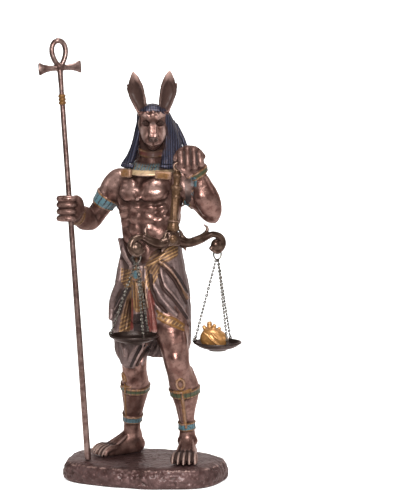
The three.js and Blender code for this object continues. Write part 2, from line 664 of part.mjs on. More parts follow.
function hangerLink({ at }, clearance = 0) {
  const centre = [at[0], at[1], at[2] - LINK.drop];
  return ringSolid(centre, LINK.radius, LINK.wire + clearance, BEAM.turnDeg, LINK.stretch, 8);
}

function chain({ at, rim }, n) {
  const angle = RIM_ANGLES[n] * DEG;
  const away = [Math.cos(angle), Math.sin(angle)];
  const linkFoot = at[2] - LINK.drop - LINK.radius * LINK.stretch - LINK.wire;
  const top = vec([at[0] + away[0] * 1.3, at[1] + away[1] * 1.3, linkFoot - CHAIN.radius - GAP]);
  const reach = PANS.radius - 0.8;
  const low = vec([rim[0] + away[0] * reach, rim[1] + away[1] * reach, rim[2] + CHAIN.radius + GAP]);
  const beads = Math.round(top.distanceTo(low) / CHAIN.pitch);
  const joints = Array.from({ length: 2 * beads + 1 }, (_, i) => ({
    at: top.clone().lerp(low, i / (2 * beads)).toArray(),
    r: i % 2 ? CHAIN.radius : CHAIN.waist,
  }));
  return limb(joints, 4, 2 * beads);
}

function pan({ rim }) {
  const { radius, deep, wall } = PANS;
  const outer = new THREE.SplineCurve([[0.01, -deep], [radius * 0.45, -deep * 0.86], [radius * 0.8, -deep * 0.5], [radius, 0]].map((p) => new THREE.Vector2(...p)));
  const inner = new THREE.SplineCurve([[radius - wall, 0.1], [radius * 0.76, -deep * 0.4], [radius * 0.42, -deep * 0.7], [0.01, -deep + wall]].map((p) => new THREE.Vector2(...p)));
  const profile = [new THREE.Vector2(0, -deep), ...outer.getPoints(4), ...inner.getPoints(4), new THREE.Vector2(0, -deep + wall)];
  const lathe = new THREE.LatheGeometry(profile, 24);
  lathe.rotateX(Math.PI / 2);
  lathe.translate(...rim);
  return solidOf(lathe);
}

// The golden heart in the right pan, with its cut vessels on top
function heart() {
  const [x, y, z] = HANGERS.heart.rim;
  const floor = z - PANS.deep + PANS.wall + GAP;
  const body = join([
    ball([x - 3.8, y - 0.4, floor + 6.4], [7.6, 6.6, 6.6], [0, -14, 0], 12, 8),
    ball([x + 0.6, y - 0.2, floor + 5.8], [6.8, 6, 5.6], [0, 22, 0], 10, 8),
  ]);
  const vessels = [
    rod([x - 5, y, floor + 10.5], [x - 5.2, y, floor + 15.6], 1.9, 1.5),
    rod([x - 3, y - 1, floor + 10.5], [x - 1.6, y - 1.2, floor + 14.4], 1.5, 1.2),
    rod([x - 7, y, floor + 10], [x - 8.8, y - 0.4, floor + 13.4], 1.4, 1.1),
    rod([x - 1.4, y + 0.6, floor + 9.8], [x + 1.2, y + 0.6, floor + 12.6], 1.3, 1.1),
  ];
  const bowl = new THREE.LatheGeometry(
    [[0, floor], [5.6, floor + 0.1], [11, floor + 2], [PANS.radius - 1.6, z], [PANS.radius, z + 20], [0, z + 20]].map(
      ([r, up]) => new THREE.Vector2(r, up - z),
    ),
    24,
  );
  bowl.rotateX(Math.PI / 2);
  bowl.translate(x, y, z);
  return join([body, ...vessels]).intersect(solidOf(bowl));
}

function material(color, roughness, metalness) {
  return new THREE.MeshStandardMaterial({ color, roughness, metalness });
}

const bronze = material(0x6e5148, 0.38, 0.7);
const darkMetal = material(0x544539, 0.4, 0.7);
const wire = material(0x7b7a68, 0.35, 0.9);
const gold = material(0xc88d3c, 0.42, 0.6);

function add(group, name, solid, look) {
  const mesh = new THREE.Mesh(geometryOf(solid), look);
  mesh.name = name;
  group.add(mesh);
}

const anubis = new THREE.Group();
add(anubis, "plinth", plinth(), bronze);
add(anubis, "figure", figure(), bronze);
add(anubis, "ankh_staff", staff(), bronze);
add(anubis, "scale_beam", balance(), darkMetal);
for (const [side, hanger] of Object.entries(HANGERS)) {
  add(anubis, side + "_pan", pan(hanger), darkMetal);
  add(anubis, side + "_pan_ring", hangerLink(hanger), wire);
  RIM_ANGLES.forEach((_, n) => add(anubis, side + "_pan_chain_" + (n + 1), chain(hanger, n), wire));
}
add(anubis, "heart", heart(), gold);

export default anubis;
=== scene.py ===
"""Looks of a jackal-headed figurine in cold-cast bronze, modelled as clay on distance grids and then painted.

Sizes in the sculpting are millimetres in the frame of the CAD model: +Z up, the figure faces -Y.
Some places are given as pixels of the photograph, which Sight turns into places on the clay.
"""

import logging
import math
from dataclasses import dataclass
from enum import Enum
from typing import Callable, Sequence

import bpy
import numpy as np
import openvdb
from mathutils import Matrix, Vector


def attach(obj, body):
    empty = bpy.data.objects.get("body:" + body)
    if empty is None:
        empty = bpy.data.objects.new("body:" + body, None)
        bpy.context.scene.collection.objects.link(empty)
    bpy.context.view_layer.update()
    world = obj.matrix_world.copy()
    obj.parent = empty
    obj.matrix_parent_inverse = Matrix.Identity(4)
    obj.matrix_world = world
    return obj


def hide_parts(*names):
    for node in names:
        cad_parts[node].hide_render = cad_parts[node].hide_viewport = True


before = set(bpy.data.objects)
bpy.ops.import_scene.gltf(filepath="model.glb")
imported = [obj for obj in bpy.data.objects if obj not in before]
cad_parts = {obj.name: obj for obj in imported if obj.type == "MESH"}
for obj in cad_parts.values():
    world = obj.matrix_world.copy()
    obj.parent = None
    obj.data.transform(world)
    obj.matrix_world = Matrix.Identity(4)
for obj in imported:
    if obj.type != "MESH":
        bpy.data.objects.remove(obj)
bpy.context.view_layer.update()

LOG = logging.getLogger("figurine")
MM = 0.001
EMPTY = 1e3
UPRIGHT = np.stack([(1, 0, 0), (0, 0, 1), (0, -1, 0)], 1).astype(float)
BAND = 4.0
SEED = 7
LOOK_REACH = 75.0

Point = Sequence[float]
Grid = np.ndarray
Socket = bpy.types.NodeSocket
Value = Socket | float | tuple


def unit(v: Point) -> np.ndarray:
    """The vector at length one."""
    v = np.asarray(v, float)
    return v / np.linalg.norm(v)


@dataclass(frozen=True)
class Sight:
    """A viewpoint like the photograph's, which turns its pixels into places in millimetres and back."""

    azimuth: float = 15.0
    elevation: float = 6.0
    distance: float = 1150.0
    focal: float = 1827.0
    middle: tuple[float, float] = (202.5, 250.0)
    look_right: float = 37.4
    look_up: float = 145.6

    @property
    def right(self) -> np.ndarray:
        """Unit vector to the viewer's right."""
        turn = math.radians(self.azimuth)
        return np.array([math.cos(turn), math.sin(turn), 0.0])

    @property
    def toward(self) -> np.ndarray:
        """Level unit vector towards the viewer."""
        turn = math.radians(self.azimuth)
        return np.array([math.sin(turn), -math.cos(turn), 0.0])

    @property
    def back(self) -> np.ndarray:
        """Unit vector from what is looked at to the eye."""
        lift = math.radians(self.elevation)
        return self.toward * math.cos(lift) + np.array([0, 0, math.sin(lift)])

    @property
    def up(self) -> np.ndarray:
        """Unit vector up in the picture."""
        return np.cross(self.back, self.right)

    @property
    def look(self) -> np.ndarray:
        """The point in the middle of the picture."""
        return self.right * self.look_right + np.array([0, 0, self.look_up])

    @property
    def eye(self) -> np.ndarray:
        """The camera's place."""
        return self.look + self.back * self.distance

    def ray(self, px: float, py: float) -> np.ndarray:
        """Unit vector from the eye through a pixel."""
        across = self.right * (px - self.middle[0])
        above = self.up * (self.middle[1] - py)
        return unit(across + above - self.back * self.focal)

    def seen(self, px: float, py: float, ahead: float, about: Point) -> np.ndarray:
        """The place behind a pixel that is so far in front of another place."""
        ray = self.ray(px, py)
        reach = (np.array(about) - self.eye) @ self.toward + ahead
        return self.eye + ray * (reach / (ray @ self.toward))

    def pixels(self, points: np.ndarray) -> np.ndarray:
        """Pixels of an array of points, one row each."""
        away = points - self.eye
        depth = -(away @ self.back)
        px = self.middle[0] + self.focal * (away @ self.right) / depth
        py = self.middle[1] - self.focal * (away @ self.up) / depth
        return np.stack([px, py], -1)


PHOTO = Sight()
PX = PHOTO.distance / PHOTO.focal


@dataclass(frozen=True)
class Shape:
    """A solid as a distance function over broadcast x, y and z, with a box that holds it."""

    low: np.ndarray
    high: np.ndarray
    distance: Callable[[np.ndarray, np.ndarray, np.ndarray], np.ndarray]


def turned(degrees: Point) -> np.ndarray:
    """Matrix of turns about X, then Y, then Z."""
    cx, cy, cz = (math.cos(math.radians(d)) for d in degrees)
    sx, sy, sz = (math.sin(math.radians(d)) for d in degrees)
    about_x = np.array([[1, 0, 0], [0, cx, -sx], [0, sx, cx]])
    about_y = np.array([[cy, 0, sy], [0, 1, 0], [-sy, 0, cy]])
    about_z = np.array([[cz, -sz, 0], [sz, cz, 0], [0, 0, 1]])
    return about_z @ about_y @ about_x


def in_frame(x: Grid, y: Grid, z: Grid, centre: Point, axes: np.ndarray) -> list[Grid]:
    """Coordinates along the columns of axes, from centre."""
    dx, dy, dz = x - centre[0], y - centre[1], z - centre[2]
    return [dx * axes[0, k] + dy * axes[1, k] + dz * axes[2, k] for k in range(3)]


def ellipsoid(centre: Point, radii: Point, axes: np.ndarray | None = None, turn: Point = (0, 0, 0)) -> Shape:
    """An ellipsoid along the columns of axes, or turned by degrees."""
    axes = turned(turn) if axes is None else axes
    centre = np.asarray(centre, float)
    reach = np.sqrt(((axes * np.asarray(radii)) ** 2).sum(1))

    def distance(x: Grid, y: Grid, z: Grid) -> Grid:
        """Distance to the surface, below 0 inside."""
        local = in_frame(x, y, z, centre, axes)
        near = np.sqrt(sum((c / r) ** 2 for c, r in zip(local, radii)))
        slope = np.sqrt(sum((c / r**2) ** 2 for c, r in zip(local, radii)))
        return near * (near - 1) / np.maximum(slope, 1e-4)

    return Shape(centre - reach, centre + reach, distance)


def block(centre: Point, half: Point, axes: np.ndarray, edge: float = 0.4) -> Shape:
    """A box with rounded edges."""
    centre = np.asarray(centre, float)
    reach = np.abs(axes) @ np.asarray(half, float)

    def distance(x: Grid, y: Grid, z: Grid) -> Grid:
        """Distance to the surface, below 0 inside."""
        local = in_frame(x, y, z, centre, axes)
        over = [np.abs(c) - (h - edge) for c, h in zip(local, half)]
        outside = np.sqrt(sum(np.maximum(o, 0) ** 2 for o in over))
        inside = np.minimum(np.maximum(np.maximum(over[0], over[1]), over[2]), 0)
        return outside + inside - edge

    return Shape(centre - reach, centre + reach, distance)


def torus(centre: Point, axes: np.ndarray, radius: float, wire: float, stretch: float = 1.0) -> Shape:
    """A ring in the plane of the first two axes, longer along the second by stretch."""
    centre = np.asarray(centre, float)
    reach = np.full(3, radius * max(stretch, 1) + wire)

    def distance(x: Grid, y: Grid, z: Grid) -> Grid:
        """Distance to the surface, below 0 inside."""
        a, b, c = in_frame(x, y, z, centre, axes)
        flat = np.sqrt(a**2 + (b / stretch) ** 2)
        scale = np.sqrt(a**2 + b**2) / np.maximum(flat, 1e-4)
        return np.sqrt(((flat - radius) * scale) ** 2 + c**2) - wire

    return Shape(centre - reach, centre + reach, distance)


def smooth_path(points: Sequence[Point], per_span: int) -> np.ndarray:
    """Catmull-Rom points through the given ones, which may carry a radius as a last number."""
    p = np.asarray(points, float)
    if len(p) == 2:
        return np.linspace(p[0], p[1], per_span + 1)
    p = np.vstack([2 * p[0] - p[1], p, 2 * p[-1] - p[-2]])
    t = np.linspace(0, 1, per_span, endpoint=False)[:, None]
    spans = []
    for a, b, c, d in zip(p[:-3], p[1:-2], p[2:-1], p[3:]):
        square, cube = 2 * a - 5 * b + 4 * c - d, 3 * b - a - 3 * c + d
        spans.append(0.5 * (2 * b + (c - a) * t + square * t**2 + cube * t**3))
    return np.vstack(spans + [p[-2:-1]])


def strand(points: Sequence[Point], per_span: int = 3) -> Shape:
    """A round rope through points of (x, y, z, radius)."""
    path = smooth_path(points, per_span)
    low = (path[:, :3] - path[:, 3:]).min(0)
    high = (path[:, :3] + path[:, 3:]).max(0)

    def distance(x: Grid, y: Grid, z: Grid) -> Grid:
        """Distance to the surface, below 0 inside."""
        grid = [x.ravel(), y.ravel(), z.ravel()]
        out = np.full((len(grid[0]), len(grid[1]), len(grid[2])), EMPTY, np.float32)
        for a, b in zip(path[:-1], path[1:]):
            cut = []
            for k in range(3):
                least = min(a[k] - a[3], b[k] - b[3]) - BAND
                most = max(a[k] + a[3], b[k] + b[3]) + BAND
                cut.append(slice(*np.searchsorted(grid[k], (least, most))))
            sx, sy, sz = (g[c] for g, c in zip(grid, cut))
            if not (len(sx) and len(sy) and len(sz)):
                continue
            dx, dy, dz = sx[:, None, None] - a[0], sy[None, :, None] - a[1], sz[None, None, :] - a[2]
            e = b[:3] - a[:3]
            t = np.clip((dx * e[0] + dy * e[1] + dz * e[2]) / max(float(e @ e), 1e-6), 0, 1)
            gap = np.sqrt((dx - t * e[0]) ** 2 + (dy - t * e[1]) ** 2 + (dz - t * e[2]) ** 2)
            part = out[tuple(cut)]
            np.minimum(part, gap - (a[3] + (b[3] - a[3]) * t), out=part)
        return out

    return Shape(low, high, distance)


def tower(rows: Sequence[Point], bulge: Callable | None = None, edge: float = 1.0) -> Shape:
    """An upright form of oval sections, from rows of (z, x, y, half width, half depth)."""
    table = np.asarray(sorted(rows), float)
    low = np.array([(table[:, 1] - table[:, 3]).min(), (table[:, 2] - table[:, 4]).min(), table[0, 0]])
    high = np.array([(table[:, 1] + table[:, 3]).max(), (table[:, 2] + table[:, 4]).max(), table[-1, 0]])

    def distance(x: Grid, y: Grid, z: Grid) -> Grid:
        """Distance to the surface, below 0 inside."""
        level = smooth_path(table, 8)
        cx, cy, wide, deep = (np.interp(z.ravel(), level[:, 0], level[:, k])[None, None, :] for k in (1, 2,
            3, 4))
        a, b = (x - cx) / wide, (y - cy) / deep
        near = np.sqrt(a**2 + b**2)
        slope = np.sqrt((a / wide) ** 2 + (b / deep) ** 2)
        side = near * (near - 1) / np.maximum(slope, 1e-4)
        if bulge is not None:
            side = side - bulge(np.arctan2(b, a), z)
        cap = np.maximum(z - table[-1, 0], table[0, 0] - z)
        return larger(side, cap + 0 * side, edge)

    return Shape(low, high, distance)


def blade(base: Point, tip: Point, face: Point, rows: Sequence[Point]) -> Shape:
    """A flat leaf from base to tip, from rows of (share of the length, shift, half width, half thickness)."""
    base, tip = np.asarray(base, float), np.asarray(tip, float)
    along = unit(tip - base)
    across = unit(np.cross(face, along))
    axes = np.stack([across, np.cross(along, across), along], 1)
    table = smooth_path(rows, 6)
    long = np.linalg.norm(tip - base)
    reach = table[:, 1:].sum(1).max() + 1
    low, high = np.minimum(base, tip) - reach, np.maximum(base, tip) + reach

    def distance(x: Grid, y: Grid, z: Grid) -> Grid:
        """Distance to the surface, below 0 inside."""
        a, b, c = in_frame(x, y, z, base, axes)
        share = c / long
        shift, wide, thick = (np.interp(share, table[:, 0], table[:, k]) for k in (1, 2, 3))
        a = (a - shift) / wide
        b = b / thick
        near = np.sqrt(a**2 + b**2)
        slope = np.sqrt((a / wide) ** 2 + (b / thick) ** 2)
        side = near * (near - 1) / np.maximum(slope, 1e-4)
        return np.maximum(side, np.maximum(-c, c - long))

    return Shape(low, high, distance)


def smaller(a: np.ndarray, b: np.ndarray, blend: float) -> np.ndarray:
    """The least of two distances, with a soft crease of the given width."""
    if blend <= 0:
        return np.minimum(a, b)
    near = np.maximum(blend - np.abs(a - b), 0) / blend
    return np.minimum(a, b) - near * near * blend / 4


def larger(a: np.ndarray, b: np.ndarray, blend: float) -> np.ndarray:
    """The greatest of two distances, with a soft edge of the given width."""
    return -smaller(-a, -b, blend)


def fade(value: np.ndarray, start: float, end: float) -> np.ndarray:
    """Smooth step from 0 at start to 1 at end."""
    t = np.clip((value - start) / (end - start), 0, 1)
    return t * t * (3 - 2 * t)


def lattice_noise(x: np.ndarray, y: np.ndarray, z: np.ndarray, size: float, seed: int) -> np.ndarray:
    """Smooth random values from -1 to 1 over a grid, with lumps of about the given size."""
    rng = np.random.default_rng(SEED + seed)
    steps = []
    for axis in (x.ravel(), y.ravel(), z.ravel()):
        place = (axis - axis[0]) / size
        cell = place.astype(int)
        part = place - cell
        steps.append((cell, part * part * (3 - 2 * part)))
    values = rng.uniform(-1, 1, [int(cell[-1]) + 2 for cell, _ in steps]).astype(np.float32)
    for k, (cell, part) in enumerate(steps):
        shape = [1, 1, 1]
        shape[k] = -1
        part = part.reshape(shape).astype(np.float32)
        values = np.take(values, cell, k) * (1 - part) + np.take(values, cell + 1, k) * part
    return values


def box_blur(field: np.ndarray, reach: int, axis: int) -> np.ndarray:
    """Mean over reach cells each way along one axis."""
    pads = [(0, 0)] * 3
    pads[axis] = (reach + 1, reach)
    total = np.cumsum(np.pad(field, pads, mode="edge"), axis=axis, dtype=np.float64)
    span = 2 * reach + 1
    size = field.shape[axis]
    ahead = np.take(total, np.arange(span, span + size), axis)
    behind = np.take(total, np.arange(size), axis)
    return ((ahead - behind) / span).astype(np.float32)


class Clay:
    """A block of clay: the distance in millimetres from each point of a regular grid to the surface."""

    def __init__(self, low: Point, high: Point, step: float) -> None:
        """Args: low and high are opposite corners of the block, and step is the grid's pitch."""
        self.step = step
        self.low = np.asarray(low, float)
        counts = np.ceil((np.asarray(high, float) - self.low) / step).astype(int) + 1
        self.axes = [(self.low[k] + step * np.arange(counts[k])).astype(np.float32) for k in range(3)]
        self.field = np.full(counts, EMPTY, np.float32)

    def window(self, low: Point, high: Point, margin: float = BAND) -> tuple:
        """Slices and broadcast coordinates of the part of the grid near a box."""
        cuts = tuple(
            slice(*np.searchsorted(axis, (a - margin, b + margin))) for axis, a,
            b in zip(self.axes, low, high)
        )
        x, y, z = (axis[cut] for axis, cut in zip(self.axes, cuts))
        return cuts, x[:, None, None], y[None, :, None], z[None, None, :]

    def add(self, shape: Shape, blend: float = 0.0) -> None:
        """Presses a shape on."""
        cuts, x, y, z = self.window(shape.low, shape.high)
        if x.size and y.size and z.size:
            self.field[cuts] = smaller(self.field[cuts], shape.distance(x, y, z), blend)

    def cut(self, shape: Shape, blend: float = 0.0) -> None:
        """Cuts a shape away."""
        cuts, x, y, z = self.window(shape.low, shape.high)
        if x.size and y.size and z.size:
            self.field[cuts] = larger(self.field[cuts], -shape.distance(x, y, z), blend)

    def swell(self, low: Point, high: Point, height: Callable) -> None:
        """Moves the surface out by height(x, y, z) inside a box."""
        cuts, x, y, z = self.window(low, high, 0)
        self.field[cuts] -= height(x, y, z)

    def sample(self, points: np.ndarray, field: np.ndarray | None = None) -> np.ndarray:
        """Values between the grid's points."""
        field = self.field if field is None else field
        place = (points - self.low) / self.step
        cell = np.clip(place.astype(int), 0, np.array(field.shape) - 2)
        part = np.clip(place - cell, 0, 1)
        total = np.zeros(len(points))
        for corner in np.ndindex(2, 2, 2):
            weight = np.prod(np.where(corner, part, 1 - part), axis=1)
            total += weight * field[tuple((cell + corner).T)]
        return total

    def touch(self, px: float, py: float, sight: Sight = PHOTO) -> tuple[np.ndarray, np.ndarray] | None:
        """The point where the sight line through a pixel first meets the clay, and its outward normal."""
        ray = sight.ray(px, py)
        start = sight.distance - LOOK_REACH
        path = sight.eye + ray * np.arange(start, start + 2 * LOOK_REACH, 0.2)[:, None]
        inside = np.all((path > self.low) & (path < [axis[-1] for axis in self.axes]), axis=1)
        path = path[inside]
        met = np.flatnonzero(self.sample(path) < 0)
        if not len(met):
            return None
        point = path[met[0]]
        return point, self.normal(point)

    def normal(self, point: np.ndarray) -> np.ndarray:
        """Outward direction of the surface near a point."""
        reach = 1.2
        offsets = np.eye(3) * reach
        rise = self.sample(point + offsets) - self.sample(point - offsets)
        return unit(rise)

    def bump(self, px: float, py: float, across: float, tall: float, lift: float, roll: float = 0.0,
             deep: float | None = None, blend: float = 1.4) -> None:
        """Presses an oval muscle on where a pixel meets the clay, standing proud of it by lift."""
        point, out = self.touch(px, py)
        deep = deep or 0.7 * min(across, tall)
        self.add(ellipsoid(point + out * (lift - deep), (across, tall, deep), self.facing(out, roll)), blend)

    def dent(self, px: float, py: float, across: float, tall: float, depth: float, roll: float = 0.0,
             blend: float = 0.8) -> None:
        """Presses an oval hollow in where a pixel meets the clay."""
        point, out = self.touch(px, py)
        deep = 0.7 * min(across, tall)
        self.cut(ellipsoid(point + out * (deep - depth), (across, tall, deep), self.facing(out, roll)), blend)

    @staticmethod
    def facing(out: np.ndarray, roll: float = 0.0) -> np.ndarray:
        """Axes with the third along out, the second upwards and the first across, turned by roll degrees."""
        across = unit(np.cross((0, 0, 1), out))
        up = np.cross(out, across)
        turn = math.radians(roll)
        side = across * math.cos(turn) + up * math.sin(turn)
        return np.stack([side, np.cross(out, side), out], 1)

    def trace(self, pixels: Sequence[Point], radius: float, lift: float, per_span: int = 4) -> Shape:
        """A rope that lies on the clay along a line of pixels, standing proud of it by lift."""
        line = smooth_path(pixels, per_span)
        radii = np.linspace(0, 1, len(line))
        path = []
        for (px, py), share in zip(line, radii):
            met = self.touch(px, py)
            if met is None:
                LOG.warning("no clay at pixel %.0f, %.0f", px, py)
                continue
            point, out = met
            thin = radius * (1 - 0.35 * abs(2 * share - 1) ** 3)
            path.append([*(point + out * (lift - thin)), thin])
        return strand(path, 1)

    def ridge(self, pixels: Sequence[Point], radius: float, lift: float, blend: float = 0.8) -> None:
        """Presses a rope of clay along a line of pixels."""
        self.add(self.trace(pixels, radius, lift), blend)

    def groove(self, pixels: Sequence[Point], radius: float, depth: float, blend: float = 0.5) -> None:
        """Cuts a rounded groove along a line of pixels."""
        self.cut(self.trace(pixels, radius, 2 * radius - depth), blend)

    def curvature(self, reach: float) -> np.ndarray:
        """How far the surface stands above its surroundings, within reach: high on ridges, low in hollows."""
        cells = max(int(round(reach / self.step / 2)), 1)
        field = np.clip(self.field, -BAND, BAND)
        for axis in (0, 1, 2, 0, 1, 2):
            field = box_blur(field, cells, axis)
        return field

    def mesh(self, name: str, most_faces: int) -> tuple[bpy.types.Object, np.ndarray]:
        """The surface as a mesh object in metres, and its vertices in millimetres."""
        grid = openvdb.FloatGrid(background=BAND)
        grid.copyFromArray(np.clip(self.field, -BAND, BAND))
        points, triangles, quads = grid.convertToPolygons(isovalue=0.0, adaptivity=0.0)
        points = points.astype(np.float64) * self.step + self.low
        obj = mesh_object(name, points * MM, triangles, quads)
        faces = len(triangles) + 2 * len(quads)
        if faces > most_faces:
            fewer = obj.modifiers.new("fewer", "DECIMATE")
            fewer.ratio = most_faces / faces
            keep_evaluated(obj)
        co = np.empty(len(obj.data.vertices) * 3, np.float32)
        obj.data.vertices.foreach_get("co", co)
        obj.data.shade_smooth()
        return obj, co.reshape(-1, 3).astype(np.float64) / MM


def mesh_object(name: str, points: np.ndarray, triangles: np.ndarray, quads: np.ndarray) -> bpy.types.Object:
    """A linked mesh object from arrays."""
    mesh = bpy.data.meshes.new(name)
    mesh.vertices.add(len(points))
    mesh.vertices.foreach_set("co", points.astype(np.float32).ravel())
    corners = np.concatenate([triangles.ravel(), quads.ravel()]).astype(np.int32)
    counts = np.concatenate([np.full(len(triangles), 3), np.full(len(quads), 4)]).astype(np.int32)
    mesh.loops.add(len(corners))
    mesh.loops.foreach_set("vertex_index", corners)
    mesh.polygons.add(len(counts))
    mesh.polygons.foreach_set("loop_start", np.concatenate([[0], np.cumsum(counts)[:-1]]).astype(np.int32))
    mesh.update(calc_edges=True)
    mesh.validate()
    obj = bpy.data.objects.new(name, mesh)
    bpy.context.scene.collection.objects.link(obj)
    return obj


def keep_evaluated(obj: bpy.types.Object) -> None:
    """Applies an object's modifiers to its mesh."""
    graph = bpy.context.evaluated_depsgraph_get()
    made = bpy.data.meshes.new_from_object(obj.evaluated_get(graph))
    obj.modifiers.clear()
    old, obj.data = obj.data, made
    bpy.data.meshes.remove(old)


def dress(obj: bpy.types.Object, material: bpy.types.Material, slot: str, *nodes: str) -> None:
    """Gives a piece its material and its place in the model."""
    obj.data.materials.clear()
    obj.data.materials.append(material)
    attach(obj, "root")
    if nodes:
        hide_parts(*nodes)


def store(obj: bpy.types.Object, name: str, values: np.ndarray) -> None:
    """Keeps one number for each vertex under a name that the materials read."""
    layer = obj.data.attributes.new(name, "FLOAT", "POINT")
    layer.data.foreach_set("value", np.asarray(values, np.float32))


class Paint(Enum):
    """The colours on the figurine, each with its linear colour, metallic share and roughness."""

    CLOTH = ((0.074, 0.050, 0.047), 0.50, 0.48)
    LINING = ((0.066, 0.012, 0.009), 0.15, 0.55)
    WEAVE = ((0.062, 0.032, 0.017), 0.50, 0.44)
    BRASS = ((0.052, 0.027, 0.013), 0.55, 0.40)
    GREEN = ((0.020, 0.027, 0.012), 0.30, 0.48)
    WIG = ((0.004, 0.005, 0.011), 0.50, 0.50)
    PLUM = ((0.050, 0.014, 0.030), 0.15, 0.50)
    SKY = ((0.030, 0.070, 0.084), 0.10, 0.55)
    GOLD = ((0.080, 0.035, 0.007), 0.30, 0.50)
    CREAM = ((0.270, 0.190, 0.110), 0.30, 0.42)
    CLAW = ((0.165, 0.114, 0.094), 0.55, 0.36)
    # DARK is the dark paint of the bands' and collar's patterns, and painted shade in folds, gaps, below the apron
    # and by the arm band; EAR is painted shade inside the ear cups.
    DARK = ((0.009, 0.006, 0.006), 0.25, 0.80)
    EAR = ((0.022, 0.011, 0.009), 0.25, 0.80)
    EYE = ((0.010, 0.006, 0.005), 0.30, 0.60)


THREAD_TINTS = {
    Paint.WEAVE: (0.165, 0.092, 0.038),
    Paint.WIG: (0.023, 0.026, 0.044),
    Paint.SKY: (0.095, 0.065, 0.038),
    Paint.PLUM: (0.016, 0.014, 0.026),
}


class PaintedClay(Clay):
    """Clay that remembers which paint each part of its surface wears."""

    def __init__(self, low: Point, high: Point, step: float) -> None:
        """Args are those of Clay."""
        super().__init__(low, high, step)
        self.own: dict[Paint, np.ndarray] = {}
        self.zones: list[tuple[Paint, Callable[[np.ndarray], np.ndarray]]] = []
        self.current: Paint | None = None

    def add(self, shape: Shape, blend: float = 0.0) -> None:
        """Presses a shape on, in the current paint."""
        cuts, x, y, z = self.window(shape.low, shape.high)
        if not (x.size and y.size and z.size):
            return
        old, new = self.field[cuts], shape.distance(x, y, z)
        if self.current is not None and self.current not in self.own:
            self.own[self.current] = np.full(self.field.shape, -BAND, np.float16)
        for paint, own in self.own.items():
            if paint is self.current:
                own[cuts] = np.maximum(own[cuts], np.clip(old - new, -BAND, BAND))
            else:
                own[cuts] = np.minimum(own[cuts], np.clip(new - old, -BAND, BAND))
        self.field[cuts] = smaller(old, new, blend)

    def tint(self, paint: Paint, shape: Shape, wide: float) -> None:
        """Paints the surface within a distance of a shape."""
        cuts, x, y, z = self.window(shape.low, shape.high)
        if x.size and y.size and z.size:
            own = self.own.setdefault(paint, np.full(self.field.shape, -BAND, np.float16))
            own[cuts] = np.maximum(own[cuts], np.clip(wide - shape.distance(x, y, z), -BAND, BAND))

    def zone(self, paint: Paint, depth: Callable[[np.ndarray], np.ndarray]) -> None:
        """Paints where depth(points) is above 0, which is how far a point is inside the zone, in mm."""
        self.zones.append((paint, depth))

    def store_paints(self, obj: bpy.types.Object, points: np.ndarray) -> list[Paint]:
        """Keeps each paint's depth on the mesh, and returns the paints in use."""
        used = []
        for paint in Paint:
            depth = np.full(len(points), -BAND)
            if paint in self.own:
                depth = self.sample(points, self.own[paint])
            for other, zone in self.zones:
                if other is paint:
                    depth = np.maximum(depth, zone(points))
            if depth.max() > 0:
                store(obj, "paint_" + paint.name.lower(), np.clip(depth, -BAND, BAND))
                used.append(paint)
        return used


def polygon_depth(pixels: np.ndarray, corners: Sequence[Point]) -> np.ndarray:
    """How far pixels are inside a polygon, in millimetres, and below 0 outside."""
    corners = np.asarray(corners, float)
    nearest = np.full(len(pixels), np.inf)
    inside = np.zeros(len(pixels), bool)
    for a, b in zip(corners, np.roll(corners, -1, 0)):
        edge = b - a
        t = np.clip(((pixels - a) @ edge) / (edge @ edge), 0, 1)
        nearest = np.minimum(nearest, np.linalg.norm(pixels - a - t[:, None] * edge, axis=1))
        crosses = (a[1] > pixels[:, 1]) != (b[1] > pixels[:, 1])
        rise = 1.0 if b[1] == a[1] else b[1] - a[1]
        inside ^= crosses & (pixels[:, 0] < (b[0] - a[0]) * (pixels[:, 1] - a[1]) / rise + a[0])
    return np.where(inside, nearest, -nearest) * PX


def line_depth(pixels: np.ndarray, line: Sequence[Point], half: float) -> np.ndarray:
    """How far pixels are inside a stroke along a line of pixels, in millimetres."""
    nearest = np.full(len(pixels), np.inf)
    path = smooth_path(line, 4)
    for a, b in zip(path[:-1], path[1:]):
        edge = b - a
        t = np.clip(((pixels - a) @ edge) / (edge @ edge), 0, 1)
        nearest = np.minimum(nearest, np.linalg.norm(pixels - a - t[:, None] * edge, axis=1))
    return half - nearest * PX


def front(points: np.ndarray, least: float = 2.0) -> np.ndarray:
    """How far points stand out towards the viewer beyond a level, in millimetres."""
    return points @ PHOTO.toward - least


